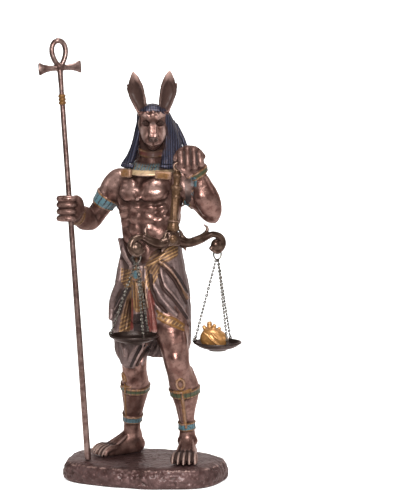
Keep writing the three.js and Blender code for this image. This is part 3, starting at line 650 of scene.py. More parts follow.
@dataclass(frozen=True)
class Cuff:
    """A band round a limb: the middle, the axis, half its height, and a reach that holds only that limb."""

    centre: Point
    axis: Point
    half: float
    reach: float
    proud: float = 0.7

    def spread(self, x: Grid, y: Grid, z: Grid) -> tuple[Grid, Grid]:
        """Places along the axis and away from it."""
        axis = unit(self.axis)
        dx, dy, dz = x - self.centre[0], y - self.centre[1], z - self.centre[2]
        along = dx * axis[0] + dy * axis[1] + dz * axis[2]
        away = np.sqrt(np.maximum(dx**2 + dy**2 + dz**2 - along**2, 0))
        return along, away

    def raise_on(self, clay: Clay) -> None:
        """Swells the limb, with a rolled rim at each edge."""

        def height(x: Grid, y: Grid, z: Grid) -> Grid:
            """Height of the band and its rims."""
            along, away = self.spread(x, y, z)
            band = 1 - fade(np.abs(along), self.half - 0.2, self.half + 0.25)
            rim = np.exp(-(((np.abs(along) - self.half + 0.55) / 0.4) ** 2))
            return (self.proud * band + 0.35 * rim) * (1 - fade(away, self.reach - 1, self.reach))

        reach = self.reach + self.half
        centre = np.asarray(self.centre)
        clay.swell(centre - reach, centre + reach, height)

    def depth(self, points: np.ndarray, half: float | None = None) -> np.ndarray:
        """How far points are inside the band."""
        along, away = self.spread(*points.T)
        return np.minimum((half or self.half) - np.abs(along), self.reach - away)

    def rims(self, points: np.ndarray) -> np.ndarray:
        """How far points are inside the band's two rims."""
        along, away = self.spread(*points.T)
        return np.minimum(0.55 - np.abs(np.abs(along) - self.half + 0.5), self.reach - away)

    def angle(self, points: np.ndarray) -> np.ndarray:
        """Angles of points round the axis."""
        axis = unit(self.axis)
        side = unit(np.cross(axis, (0, 1, 0)))
        ahead = np.cross(axis, side)
        away = points - np.asarray(self.centre)
        return np.arctan2(away @ ahead, away @ side)


def muscle(a: Point, b: Point, radius: float, ends: float = 0.45) -> Shape:
    """A spindle of flesh from a to b."""
    a, b = np.asarray(a, float), np.asarray(b, float)
    rows = [(0, ends), (0.3, 0.9), (0.5, 1.0), (0.75, 0.8), (1, ends)]
    return strand([[*(a + (b - a) * t), radius * share] for t, share in rows])


@dataclass
class Figure:
    """The jackal-headed body with its wig, kilt and jewellery, cast in one."""

    step: float = 0.5
    most_faces: int = 190_000
    head_middle: tuple = (5.3, 2.5, 223.4)
    head_turn: float = 14.0
    floor: float = 13.3
    toe_pitch: float = 3.2
    collar_middle: tuple = (4.6, 2)
    collar_slope: float = 0.13
    right_arm: tuple = (
        (-16, 2, 188.5, 8.4), (-22.5, 3.5, 181, 7.6), (-29, 3.5, 171.5, 6.3), (-34.6, 1.5, 164, 6.2),
        (-36.6, -6, 164.4, 6.2), (-38.8, -13.5, 167, 4.6), (-40.3, -19, 169.4, 4.2),
    )
    left_arm: tuple = (
        (23.5, 4, 188.5, 8.4), (30.5, 5, 182, 7.4), (38, 3.5, 175, 6.4), (44, 0.4, 169.6, 6),
        (44.8, -3.2, 176, 6.8), (43, -7, 184.5, 5.8), (39.8, -10, 193.5, 4.4), (36.6, -12, 198.5, 4.4),
    )
    right_leg: tuple = (
        (-3.4, 3, 124, 12), (-4.6, -0.5, 100, 10.6), (-4.8, -3.2, 82, 8.4), (-5, -3.4, 74, 7.9),
        (-6, 0.6, 66, 7.8),
        (-7.2, 4.4, 57, 8.3), (-9, 7.8, 45, 6.7), (-11, 11, 34, 5.4), (-11.6, 12.4, 24, 5.6),
    )
    left_leg: tuple = (
        (13.6, 2, 124, 12.4), (18.4, -3.6, 100, 11), (22.4, -6, 84, 8.8), (23.7, -6.2, 76, 7.9),
        (24.6, -2.4, 68, 7.9),
        (25.8, 1.8, 59, 8.7), (26.2, 4.6, 47, 6.4), (26.8, 6, 35, 4.9), (27, 6.6, 24, 5.4),
    )

    def __post_init__(self) -> None:
        """Sets out the block of clay."""
        self.clay = PaintedClay((-52.5, -32, self.floor - 1.5), (55.5, 26.5, 261), self.step)

    def build(self) -> bpy.types.Object:
        """Sculpts, meshes and paints the figure."""
        self.trunk()
        self.kilt()
        self.arms()
        self.legs()
        self.unevenness()
        self.head()
        self.wig()
        self.collar()
        self.kilt_folds()
        self.regalia()
        self.right_fist()
        self.left_fist()
        self.bands()
        self.shin_ankhs()
        self.staff_room()
        self.clay.cut(block((0, 0, self.floor - 5), (60, 40, 5), np.eye(3), 0.05))
        obj, points = self.clay.mesh("figure_cast", self.most_faces)
        self.paint_zones()
        used = self.clay.store_paints(obj, points)
        store(obj, "fine_relief", self.clay.sample(points, self.clay.curvature(1.6)))
        store(obj, "broad_relief", self.clay.sample(points, self.clay.curvature(5.0)))
        # Painted shade: soft dark spots over the hands, feet, ears, throat and the face's hollows.
        store(obj, "painted_shade", self.spots(points, self.PAINTED_SHADE_SPOTS, self.FACE_PAINTED_SHADE_SPOTS))
        # Painted highlight spots, partly paler worn bronze, on the cheeks, brows, ear tips, shoulders and chest.
        store(obj, "rub_and_highlight", self.spots(points, self.RUB_AND_HIGHLIGHT_SPOTS, self.FACE_RUB_AND_HIGHLIGHT_SPOTS))
        store(obj, "threads", self.threads(points))
        dress(obj, PaintedBronze("bronze_figure", tuple(used)).material(), "bronze", "figure")
        return obj

    # Spots of painted shade as (centre, reach, strength): fists, right forearm, feet, back of the right lower leg,
    # ears and throat.
    PAINTED_SHADE_SPOTS = (
        ((-42, -20, 171), 15, 0.62), ((-38, -6, 165), 13, 0.45), ((34, -11, 205), 15, 0.6),
        ((-20, -4, 18), 22, 0.5),
        ((27, -10, 17), 20, 0.42), ((-10, 8, 44), 20, 0.35), ((-5.6, 1, 246), 13.5, 0.85),
        ((14.2, 5, 246), 13.5, 0.85),
        ((5, -6, 204), 9, 0.6),
    )
    # Spots of painted shade on the face as (pixel across, pixel down, ahead, reach, strength): eye sockets, between
    # the eyes, nose, mouth, chin and the raised fist's palm.
    FACE_PAINTED_SHADE_SPOTS = ((145.4, 123, 9, 4.6, 0.62), (160.8, 123, 9, 4.6, 0.62), (153.3, 140.6, 21, 2.8, 0.75),
                   (153.3, 145, 16, 2.4, 0.5), (153.2, 121.6, 13, 4.2, 0.85), (153, 151.5, 9, 8.5, 0.9),
                   (145, 146.4, 6, 4.5, 0.8), (161.5, 146.4, 6, 4.5, 0.8), (189, 171, 15, 5.5, 0.9))

    # Spots of painted highlight, partly paler worn bronze: cheeks, jowls, brows and ear tips seen on the face;
    # shoulders and chest in space.
    FACE_RUB_AND_HIGHLIGHT_SPOTS = ((147.4, 138.4, 14, 4.0, 0.6), (159, 138.4, 14, 4.0, 0.6), (142.8, 134, 9, 6.5, 0.8),
                 (163, 134, 9, 6, 0.8), (146.2, 115.6, 9, 2.8, 0.6),
                 (160.4, 115.6, 9, 2.8, 0.6), (133.6, 77, 1, 5, 0.6), (169.2, 76, 1, 5, 0.6))
    RUB_AND_HIGHLIGHT_SPOTS = (((-4, -14, 186), 6, 0.3), ((13, -14, 186), 7, 0.3), ((-17, -6, 190), 9, 0.35),
            ((-24, -3, 186), 8, 0.35), ((31, -3, 187), 8, 0.3), ((-10, -12, 184), 6, 0.25))

    def spots(self, points: np.ndarray, places: Sequence, face_places: Sequence) -> np.ndarray:
        """Soft round spots at places in space and at places seen in front of the head, from 0 to 1."""
        share = np.zeros(len(points))
        seen = [(PHOTO.seen(*row[:3], self.head_middle), *row[3:]) for row in face_places]
        for centre, reach, most in [*places, *seen]:
            away = np.linalg.norm(points - centre, axis=1)
            share = np.maximum(share, most * fade(away, reach, 0.4 * reach))
        return share

    def head_point(self, x: float, y: float, z: float) -> np.ndarray:
        """A point of the head's frame: x to the figure's left, y back, z up from its middle."""
        return turned((0, 0, self.head_turn)) @ np.array([x, y, z]) + np.array(self.head_middle)

    def head_oval(self, centre: Point, radii: Point, turn: Point = (0, 0, 0)) -> Shape:
        """An ellipsoid in the head's frame."""
        axes = turned((0, 0, self.head_turn)) @ turned(turn)
        return ellipsoid(self.head_point(*centre), radii, axes)

    MUSCLES = (
        (128.5, 188, 8.6, 7.6, 2.2, -14), (154.5, 188, 9.6, 7.6, 2.4, 12),
        (129.5, 195, 7.8, 5.6, 2.6, -10), (154.0, 195, 8.8, 5.6, 2.8, 8),
        (126, 181, 7, 4, 1.0, -20), (160, 181, 8, 4, 1.0, 15),
        (134.5, 208, 3.9, 2.9, 1.6, 6), (149, 207.5, 4.3, 3.0, 1.7, -6),
        (133.8, 218, 3.8, 3.3, 1.7, 4), (148.5, 218.5, 4.2, 3.4, 1.7, -4),
        (134, 229, 3.8, 3.5, 1.4, 2), (147.5, 229, 4.1, 3.5, 1.4, -2),
        (136.5, 242, 3.8, 5.5, 1.1, -6), (145.5, 248, 4.2, 7.5, 1.8, 4),
        (124.5, 207, 3.2, 2.2, 1.4, 30), (124, 214.5, 3.3, 2.4, 1.4, 30), (124.5, 222.5, 3.3, 2.6, 1.2, 28),
        (162.5, 207.5, 3.6, 2.4, 1.5, -30), (163.5, 215, 3.7, 2.5, 1.4, -30),
        (161.5, 223, 4.2, 3.2, 1.2, -24),
        (141, 191, 3.4, 9, 1.5, 0), (141, 214, 2.8, 8, 0.9, 0), (126, 235, 3.6, 5, 1.0, 10),
        (161, 233, 5.5, 6, 1.4, -14), (120, 204, 3.0, 7.5, 1.2, 6),
    )
    RIBS = (
        ((120, 206.5), (127, 205), (133, 206.5)), ((120, 213.5), (127, 211.5), (132, 213)),
        ((121, 221), (128, 218.5)),
        ((150, 206), (157, 207.5), (165, 204.5)), ((152, 213), (159, 213.5), (166, 210.5)),
        ((155, 221), (161, 220), (166, 216.5)),
        ((143, 184), (150, 181), (160, 180.5)), ((137, 184), (130, 180.5), (122, 181)),
        ((126, 229), (130, 240), (134, 250)),
    )
    NAVEL = (141, 239)
    TRUNK_GROOVES = (
        (((140.5, 179), (140.2, 190), (140.8, 202)), 1.6, 0.35),
        (((141, 204), (140.6, 220), (141.2, 236)), 1.3, 0.3),
        (((118.5, 198), (127, 203), (139, 202)), 1.4, 0.5),
        (((143, 202), (155, 204.5), (167, 200)), 1.4, 0.5),
        (((123, 241), (128, 250), (135, 257)), 1.2, 0.7),
        (((168, 243), (160, 250), (152, 256)), 1.2, 0.7),
    )

    def trunk(self) -> None:
        """Chest, belly, flanks and back."""
        clay = self.clay
        clay.add(tower([
            (112, 3.6, 2.5, 17.5, 13.5), (136, 3.6, 2.5, 18, 12.8), (147, 3.6, 2.5, 17.2, 11.6),
            (155, 3.6, 2.5, 17.6, 11.4),
            (164, 3.6, 2.5, 18.8, 12), (171, 3.6, 2.5, 20.2, 12.9), (180, 3.6, 2.5, 21.8, 13.4),
            (186, 3.6, 2.5, 22, 13.2),
            (191, 3.6, 2.5, 19.8, 11.8), (195, 3.8, 2.6, 14.6, 10), (203, 4.4, 2.8, 8.6, 8.2),
        ], edge=3))
        for px, py, across, tall, lift, roll in self.MUSCLES:
            clay.bump(px, py, across, tall, lift, roll, blend=1.8)
        for line in self.RIBS:
            clay.ridge(line, 1.2, 0.4, 1.2)
        clay.dent(*self.NAVEL, 0.9, 1.3, 0.9)
        for line, radius, depth in self.TRUNK_GROOVES:
            clay.groove(line, radius, depth, 2.0)
        for side in (-1, 1):
            clay.add(ellipsoid((4 + side * 9.5, 13, 182), (7.4, 3.2, 8.5), turn=(8, 0, side * 22)), 2)
            clay.add(ellipsoid((3.6 + side * 13, 11, 170), (5, 3.4, 11), turn=(-4, side * -8, side * 35)), 2)
            clay.add(strand([(3.8 + side * 3.2, 14, 172, 2.4), (3.8 + side * 3, 13.4, 160, 2.5),
                             (3.8 + side * 3, 14, 148, 2.6)]), 1.5)
            clay.add(strand([(4.4 + side * 5, 5, 201, 3.5), (4 + side * 13, 6, 194, 4.4),
                             (4 + side * 19, 5, 189, 4)]), 3)

    def arms(self) -> None:
        """Both arms, with their muscles."""
        clay = self.clay
        clay.add(strand(self.right_arm, 4), 3)
        clay.add(strand(self.left_arm, 4), 3)
        for a, b, radius in (
            ((-14.5, -0.5, 192), (-25, 2.4, 176), 8.2), ((-19.5, -2.6, 184), (-31.5, -2, 169), 4.9),
            ((-20, 8, 184), (-32.5, 7, 167.5), 5.0), ((-34.5, -1, 168.5), (-39, -14.5, 169.2), 4.4),
            ((-36, 3, 163), (-39, -13, 164.8), 4.8),
            ((22, 1, 192), (33, 4, 178), 8.2), ((26, -1.8, 184.5), (40.5, -2.6, 172.5), 4.8),
            ((28, 9, 183), (43, 4.5, 168.5), 4.9), ((46.6, -1, 170.5), (41.8, -9, 190), 5.4),
            ((41.8, -6.5, 171.5), (39, -12, 190), 4.8),
        ):
            clay.add(muscle(a, b, radius), 1.8)
        clay.add(ellipsoid((-35.2, 3.4, 161.2), (3, 3.4, 3)), 2)
        clay.add(ellipsoid((45.4, 2.6, 166.4), (3, 3, 3)), 2)

    def legs(self) -> None:
        """Both legs and feet."""
        clay = self.clay
        clay.add(strand(self.right_leg, 8), 4)
        clay.add(strand(self.left_leg, 8), 4)
        for a, b, radius in (
            ((-2.4, 4.5, 68), (-8.6, 11, 43), 6.2), ((-9.6, 4, 68), (-12.4, 9.4, 44), 5.0),
            ((29, 2.5, 70), (28, 7, 43), 6.4), ((22.6, 1, 69), (25, 6, 44), 5.2),
            ((17.5, -9.5, 96), (20.4, -12, 78), 3.3), ((27.4, -8.5, 98), (27.6, -9.6, 80), 3.5),
            ((-10, -4.5, 96), (-9, -7.8, 78), 4.2),
        ):
            clay.add(muscle(a, b, radius), 1.8)
        for knee, shin, ankle in (
            ((-5.6, -9.4, 75.5), (-8.2, -3, 58), (-12.6, 6.6, 34)),
            ((23.6, -12.2, 77.5), (24.8, -5.4, 60), (26.6, 1.6, 34)),
        ):
            clay.add(ellipsoid(knee, (4.4, 2.6, 5.2), turn=(12, 0, 0)), 1.6)
            clay.add(strand([(*knee, 1.6), (*(np.array(knee) + (0, 2, -7)), 2.2), (*shin, 1.9),
                             (*ankle, 1.6)]), 2)
        self.foot((-12, 13), -43, 32)
        self.foot((27, 7), 10, 33)

    def unevenness(self) -> None:
        """Gives flesh and cloth the small lumps of hand-worked clay."""

        def height(x: Grid, y: Grid, z: Grid) -> Grid:
            """Height of the lumps."""
            return 0.15 * lattice_noise(x, y, z, 2.6, 21) + 0.28 * lattice_noise(x, y, z, 6.5, 22)

        self.clay.swell((-52, -32, 100), (55, 26, 212), height)
        self.clay.swell((-52, -32, 13), (55, 26, 100 - 1e-3), lambda x, y, z: 0.35 * height(x, y, z))

    TOE = ((0.7, -8, 4, 1.8), (0.95, -1.6, 5.0, 2.0), (1.06, 2.4, 3.6, 1.75), (1.08, 3.6, 1.8, 1.4))
    CLAW = ((0.98, -1.2, 7.0, 0.4), (1.05, 2.4, 5.8, 0.7), (1.1, 5.0, 3.6, 0.75), (1.12, 6.2, 1.1, 0.45))
    TOE_GAP = ((0.7, -8, 6.8, 0.4), (0.98, -2.4, 6.4, 0.6), (1.06, 1.8, 4.8, 0.6), (1.08, 3.4, 2.6, 0.6))

    def foot(self, ankle: Point, toe_out: float, long: float) -> None:
        """A jackal's foot: heel, instep with its tendons, five toes and a claw on each."""
        clay = self.clay
        turn = turned((0, 0, toe_out))
        reach = long - 11

        def place(across: float, ahead: float, up: float) -> np.ndarray:
            """A place by its distances from the ankle and above the rock."""
            return turn @ np.array([across, -ahead, 0]) + np.array([*ankle, self.floor + up])

        def rope(*rows: Point) -> Shape:
            """A rope through rows of such a place and a radius."""
            return strand([(*place(*row[:3]), row[3]) for row in rows])

        def toe(across: float, tip: float, rows: Sequence[Point]) -> Shape:
            """A rope along one toe, through rows of (share of across, ahead of the tip, height, radius)."""
            return rope(*[(across * share, tip + ahead, up, radius) for share, ahead, up, radius in rows])

        clay.add(ellipsoid(place(0, -4.2, 4.6), (5, 5, 5.4), turn @ np.eye(3)), 2)
        clay.add(rope((0, -2, 11, 4.8), (0, 5, 7.2, 4.9), (0, 12, 4.6, 4.2), (0, reach - 2, 3.2, 3.2)), 2.5)
        for side in (-1, 1):
            clay.add(rope((side * 2, -2, 3.2, 4), (side * 3, 8, 2.8, 3.4),
                          (side * 4.6, reach - 3, 2.4, 2.8)), 2)
            clay.add(ellipsoid(place(side * 4.6, 0.6, 10.6), (1.9, 2.4, 2.4), turn), 1.2)
        for n in range(-2, 3):
            across = self.toe_pitch * n
            tip = reach - 0.7 * abs(n)
            clay.add(toe(across, tip, self.TOE), 0.5)
            tendon = ((across * 0.35, 2.2, 14.6, 0.6), (across * 0.6, 7.5, 10.4, 0.9),
                      (across * 0.8, tip - 5, 6.2, 0.9))
            clay.add(rope(*tendon), 0.5)
            clay.current = Paint.CLAW
            clay.add(toe(across, tip, self.CLAW), 0.1)
            clay.current = None
        for n in range(-2, 2):
            gap = toe(self.toe_pitch * n + self.toe_pitch / 2, reach, self.TOE_GAP)
            clay.cut(gap, 0.3)
            # Painted shade in the gaps between the toes.
            clay.tint(Paint.DARK, gap, 0.75)

    def face_rope(self, rows: Sequence[Point], about: Point = head_middle) -> Shape:
        """A rope through rows of (pixel across, pixel down, ahead of a place, radius)."""
        return strand([[*PHOTO.seen(*row[:3], about), row[3]] for row in rows])

    def face_oval(self, place: Point, radii: Point, roll: float = 0.0, about: Point = head_middle) -> Shape:
        """An ellipsoid at (pixel across, pixel down, ahead of a place) whose depth is its last radius."""
        return ellipsoid(PHOTO.seen(*place, about), radii, Clay.facing(PHOTO.toward, roll))

    FACE_FORMS = (
        (((153, 118, 9, 3.2), (153, 127, 12, 3.0), (153.2, 137, 19, 2.5)), 1.6),
        (((151.2, 122, 11.6, 0.9), (150.8, 129, 15.6, 1.5), (151, 136, 20.2, 1.4)), 0.5),
        (((154.9, 122, 11.6, 0.9), (155.4, 129, 15.6, 1.5), (155.2, 136, 20.2, 1.4)), 0.5),
        (((145.6, 128, 5, 3.2), (147.4, 136, 11, 3.2), (150, 141.5, 17.5, 2.5), (152, 142.8, 19.5, 1.8)),
         1.6),
        (((160.6, 128, 5, 3.2), (159.2, 136, 11, 3.2), (156.6, 141.5, 17.5, 2.5),
          (154.4, 142.8, 19.5, 1.8)), 1.6),
        (((146, 128, 9, 2.6), (149, 134, 14, 2.6)), 1.4),
        (((160.5, 128, 9, 2.6), (157.5, 134, 14, 2.6)), 1.4),
        (((153.2, 142.8, 6, 4.2), (153.2, 143.4, 11, 3.3), (153.2, 144.6, 16, 2.0)), 1.0),
        (((145.4, 130, 3, 3.0), (146.2, 136.8, 7.5, 2.9), (149.6, 141.2, 15.5, 2.6)), 1.4),
        (((161.2, 130, 3, 3.0), (160.4, 136.8, 7.5, 2.9), (157, 141.2, 15.5, 2.6)), 1.4),
        (((147.4, 137, 2, 3.0), (149.5, 143.6, 8, 2.4), (153, 146.6, 12, 2.1)), 1.2),
        (((159.0, 137, 2, 3.0), (157, 143.6, 8, 2.4), (153.4, 146.6, 12, 2.1)), 1.2),
    )
    BROWS = (
        ((141.6, 115.4, 6.4, 0.6), (144.8, 115.4, 8.4, 1.2), (148.4, 117.4, 10.4, 1.5),
         (152, 121.8, 11.6, 1.0)),
        ((165.0, 115.4, 6.4, 0.6), (161.6, 115.4, 8.4, 1.2), (157.8, 117.4, 10.4, 1.5),
         (154.4, 121.8, 11.6, 1.0)),
    )
    FOREHEAD = (
        (147.5, 112.4, 7.0, 1.0), (150, 114.2, 8.9, 1.1), (156.4, 114, 8.9, 1.2), (160.4, 113.4, 7.6, 1.1),
        (144.4, 113.4, 6.6, 1.0), (153.2, 117, 10.0, 1.1), (153.2, 112.2, 8.0, 0.9),
    )
    EYES = ((145.4, 122.9), (160.8, 122.9))
    NOSE = (153.3, 139.6, 20.6)
    NOSTRILS = ((150.9, 140.4, 22.0), (155.8, 140.4, 22.0))
    MOUTH = (
        ((153.3, 142.4, 22, 0.4), (153.3, 144.6, 20.6, 0.5)),
        ((153.3, 144.6, 20.8, 0.5), (150, 145.2, 17.8, 0.6), (146.4, 143.4, 13.4, 0.6),
         (143.4, 139.4, 8.6, 0.5)),
        ((153.3, 144.6, 20.8, 0.5), (156.6, 145.2, 17.8, 0.6), (160.2, 143.4, 13.4, 0.6),
         (163.2, 139.4, 8.6, 0.5)),
    )
    CHEEK_LINES = (
        ((142.6, 127.5, 9, 0.5), (141.6, 133, 8, 0.5), (142.4, 138, 7, 0.4)),
        ((163.8, 127.5, 9, 0.5), (164.8, 133, 8, 0.5), (164, 138, 7, 0.4)),
        ((149.6, 125, 12.6, 0.5), (147.6, 129, 12.4, 0.5), (147.4, 134, 14, 0.4)),
        ((156.8, 125, 12.6, 0.5), (158.8, 129, 12.4, 0.5), (159, 134, 14, 0.4)),
    )

    def head(self) -> None:
        """The jackal's head and throat."""
        clay = self.clay
        clay.add(strand([(4.8, 3.4, 192, 9.6), (5.8, 2.8, 203, 8.8), (*self.head_point(0, 1, -8), 8)]), 2.5)
        clay.add(self.head_oval((0, 0, 1), (8.4, 9.6, 10.2)), 1.5)
        clay.add(self.face_oval((153, 117.4, 4.2), (8, 4.5, 4.6)), 2)
        clay.add(self.face_oval((152.8, 123, 2.5), (8.3, 6.6, 7.2)), 1.6)
        clay.add(self.face_oval((152.9, 131, 3.5), (7.2, 6.4, 6.6)), 1.4)
        for rows, blend in self.FACE_FORMS:
            clay.add(self.face_rope(rows), blend)
        for (px, py), roll in zip(self.EYES, (-14, 14)):
            clay.cut(self.face_oval((px, py + 0.3, 10.8), (3.2, 2.0, 4.8), roll), 0.5)
        for rows in self.BROWS:
            clay.add(self.face_rope(rows), 0.5)
        for *place, radius in self.FOREHEAD:
            clay.add(self.face_oval(place, (radius, radius * 0.85, radius)), 0.5)
        clay.current = Paint.CLAW
        for px, py in self.EYES:
            clay.add(self.face_oval((px, py, 6.0), (1.15, 0.85, 1.5)), 0.05)
        clay.current = None
        for rows in self.MOUTH:
            clay.cut(self.face_rope(rows), 0.4)
        for rows in self.CHEEK_LINES:
            clay.cut(self.face_rope(rows), 0.6)
        clay.current = Paint.EYE
        clay.add(self.face_oval(self.NOSE, (2.8, 2.0, 1.8)), 0.3)
        clay.current = None
        for place in self.NOSTRILS:
            clay.cut(self.face_oval(place, (0.85, 0.75, 1.2)), 0.2)
        for n in range(-3, 4):
            clay.add(strand([(5.2 + 1.9 * n, -5.6 + 0.25 * n * n, 203.4, 0.5),
                             (5 + 2.2 * n, -6.6 + 0.3 * n * n, 197.2, 0.8)]), 0.5)
        for side in (-1, 1):
            self.ear(side)
        clay.swell((-20, -26, 203), (34, 16, 262), self.fur)
        clay.swell((-8, -18, 192), (20, -2, 203 - 1e-3), lambda x, y, z: 2 * self.fur(x, y, z))

    @staticmethod
    def fur(x: Grid, y: Grid, z: Grid) -> Grid:
        """Height of the short rough coat on the head."""
        return 0.16 * lattice_noise(x, y, z, 1.3, 31) + 0.12 * lattice_noise(x, y, z, 3, 32)

    EAR_BASES = {-1: (143.2, 114.5, 2.5), 1: (163, 114.5, 2.5)}
    EAR_TIPS = {-1: (133.1, 71.4, 0), 1: (169.7, 70.4, 0)}
    EAR_ROWS = (
        (0, 0, 3.0, 2.8), (0.21, 0.3, 4.1, 2.7), (0.39, 0.7, 5.0, 2.4), (0.56, 1.0, 5.4, 2.1),
        (0.67, 0.9, 5.0, 1.9),
        (0.79, 0.6, 3.9, 1.6), (0.9, 0.3, 2.4, 1.2), (1, 0, 0.5, 0.5),
    )

    def ear(self, side: int) -> None:
        """A tall pricked ear, cupped in front, with tufts along its outer edge."""
        clay = self.clay
        base, tip = (PHOTO.seen(*places[side], self.head_middle) for places in (self.EAR_BASES,
            self.EAR_TIPS))
        face = unit(PHOTO.toward + 0.38 * side * PHOTO.right)
        rows = [(t, -side * s, wide, thick) for t, s, wide, thick in self.EAR_ROWS]
        clay.add(blade(base, tip, face, rows), 0.8)
        along = unit(tip - base)
        long = np.linalg.norm(tip - base)
        outward = unit(np.cross(along, face)) * side
        hollow = [(t, s, max(wide - 0.7, 0.15), max(thick + 0.4, 0.5)) for t, s, wide, thick in rows]
        clay.cut(blade(base + face * 2.8 + along * 2, tip + face * 1.9 - along * 6, face, hollow), 0.9)
        for n in range(8):
            t = 0.12 + 0.078 * n
            wide = np.interp(t, [row[0] for row in self.EAR_ROWS], [row[1] + row[2] for row in self.EAR_ROWS])
            edge = base + along * long * t + outward * (wide - 0.7) + face * 0.3
            peak = edge + along * 2.3 + outward * 0.6 + face * 0.4
            clay.add(strand([(*(edge - along * 1.2), 0.7), (*edge, 1.0), (*peak, 0.4)]), 0.25)

    LAPPET_CORDS = (
        ((140.6, 116, -2, 1.2), (139, 127, 0, 1.3), (137.6, 139, 2, 1.4), (135, 151, 4.5, 1.4),
         (131.5, 162, 9, 1.5)),
        ((139.4, 119, -4, 1.2), (137, 129, -2, 1.4), (135.2, 141, 1, 1.5), (131.8, 153, 4, 1.6),
         (127.4, 163, 8, 1.6)),
        ((138.4, 122, -7, 1.4), (136, 134, -5, 1.6), (133.6, 144, -1, 1.6), (129.4, 155, 2, 1.7),
         (123.6, 164, 6, 1.7)),
        ((167.4, 117, 0, 1.3), (166.8, 130, 2, 1.4), (166, 142, 4, 1.5), (164.4, 153, 6, 1.5),
         (162.8, 163.5, 10, 1.6)),
        ((169.6, 118, -2, 1.4), (169.8, 131, 0, 1.5), (169.4, 143, 2.6, 1.6), (168.2, 154, 5, 1.6),
         (166.8, 163.5, 9.5, 1.6)),
        ((171.8, 120, -4, 1.4), (172.8, 132, -2, 1.5), (173.2, 144, 1, 1.6), (172.4, 155, 4, 1.6),
         (171, 164, 8.5, 1.6)),
        ((173.6, 122, -7, 1.5), (175.8, 133, -5, 1.6), (177, 144, -3, 1.6), (177, 155, 0, 1.6)),
        ((176, 125, -10, 1.6), (181, 135, -9, 1.7), (185, 145, -8, 1.7), (187, 156, -7, 1.6)),
    )
    LAPPET_ENDS = (
        ((122.5, 165.2, 9, 1.3), (127, 166, 11, 1.5), (132, 166.2, 12, 1.3)),
        ((161.5, 166.2, 12.4, 1.2), (166.6, 167, 12.4, 1.4), (172, 166.8, 11, 1.2)),
    )

    def wig(self) -> None:
        """The corded wig: a cap, a fall behind and two lappets in front of the shoulders."""
        clay = self.clay

        def cords(angle: Grid, z: Grid) -> Grid:
            """Relief of the cords."""
            return 0.4 * np.abs(np.cos(14 * angle)) - 0.2 + 0 * z

        clay.current = Paint.WIG
        clay.add(tower([
            (192, 5.4, 11.4, 16.6, 5.2), (204, 7.2, 10.4, 16.2, 8.4), (214, 7.4, 9.6, 14, 9.4),
            (224, 6.4, 7.2, 12.2, 10.2),
            (231, 5.8, 5, 10.4, 10.2), (235, 5.6, 4.2, 7.4, 7.6), (237, 5.6, 4, 3.4, 3.6),
        ], cords, 1.6), 0.3)
        for n in range(-4, 5):
            across, drop = 152.6 + 1.6 * n, 0.12 * n * n
            clay.add(self.face_rope([(across, 110 + 0.4 * drop, 7.0, 0.7), (across, 107.6 + drop, 5.8, 1.2),
                                     (across, 105.6 + drop, 1.5, 1.4), (across, 105.4 + drop, -4, 1.4)]), 0.2)
        for side in (slice(0, 3), slice(3, 6), slice(6, 8)):
            cords = [np.array(rows) for rows in self.LAPPET_CORDS[side]]
            for rows in cords:
                clay.add(self.face_rope(rows * (1, 1, 1, 0.9) - (0, 0, 1.2, 0)), 0.4)
            halfway = [(one + other) / 2 for one, other in zip(cords[:-1], cords[1:])]
            for rows in cords + halfway:
                clay.add(self.face_rope(rows * (1, 1, 1, 0.5) + (0, 0, 0.3, 0)), 0.05)
        for rows in self.LAPPET_ENDS:
            clay.add(self.face_rope(rows), 0.4)
        clay.current = None

    def collar_level(self, y: Grid, z: Grid) -> Grid:
        """Heights on the collar's slope."""
        return z - self.collar_slope * (y - self.collar_middle[1])

    def collar(self) -> None:
        """The collar's crescent and the two gold plates that end the lappets."""
        clay = self.clay
        rows = [(194.2, 4.6, 2, 14.6, 13.4), (195.4, 4.6, 2, 15.0, 14.4), (197.8, 4.6, 2, 13.4, 12.8),
                (201.2, 4.6, 2, 11, 10)]

        def slanted(x: Grid, y: Grid, z: Grid) -> Grid:
            """Distance to a collar that drops towards the front."""
            level = self.collar_level(y, z)
            wide, deep = (np.interp(level, [r[0] for r in rows], [r[k] for r in rows]) for k in (3, 4))
            a, b = (x - self.collar_middle[0]) / wide, (y - self.collar_middle[1]) / deep
            near = np.sqrt(a**2 + b**2)
            slope = np.sqrt((a / wide) ** 2 + (b / deep) ** 2)
            side = near * (near - 1) / np.maximum(slope, 1e-4)
            rib = 0.3 * np.abs(np.cos((level - rows[0][0]) * 1.3))
            return larger(side - rib, np.maximum(level - rows[-1][0], rows[0][0] - level) + 0 * side, 0.8)

        clay.add(Shape(np.array([-11.5, -14, 190]), np.array([21, 18, 203]), slanted), 0.3)
        clay.current = Paint.GOLD
        for centre, half, turn in (
            ((-6.6, -13.2, 194.6), (3.7, 1.7, 2.5), (-4, 0, -14)),
            ((17.2, -13.0, 193.8), (5.2, 1.7, 2.4), (5, 4, 8)),
        ):
            clay.add(block(centre, half, turned(turn), 0.9), 0.2)
        clay.current = None

    @staticmethod
    def near(angle: np.ndarray, middle: float, half: float) -> np.ndarray:
        """A hump of 1 at an angle, in degrees, that falls to 0 at half to each side."""
        turn = (np.degrees(angle) - middle + 180) % 360 - 180
        return np.maximum(1 - (turn / half) ** 2, 0) ** 1.5

    def waist(self, angle: np.ndarray) -> np.ndarray:
        """Height of the kilt's upper edge at an angle round the body."""
        return 153 - 15 * self.near(angle, -98, 75)

    def hem(self, angle: np.ndarray) -> np.ndarray:
        """Height of the kilt's lower edge, which hangs lower behind and at the figure's right."""
        near = self.near
        return 90 - 16 * near(angle, 90, 108) + 14 * near(angle, -48, 62) - 17 * near(angle, -118, 48)

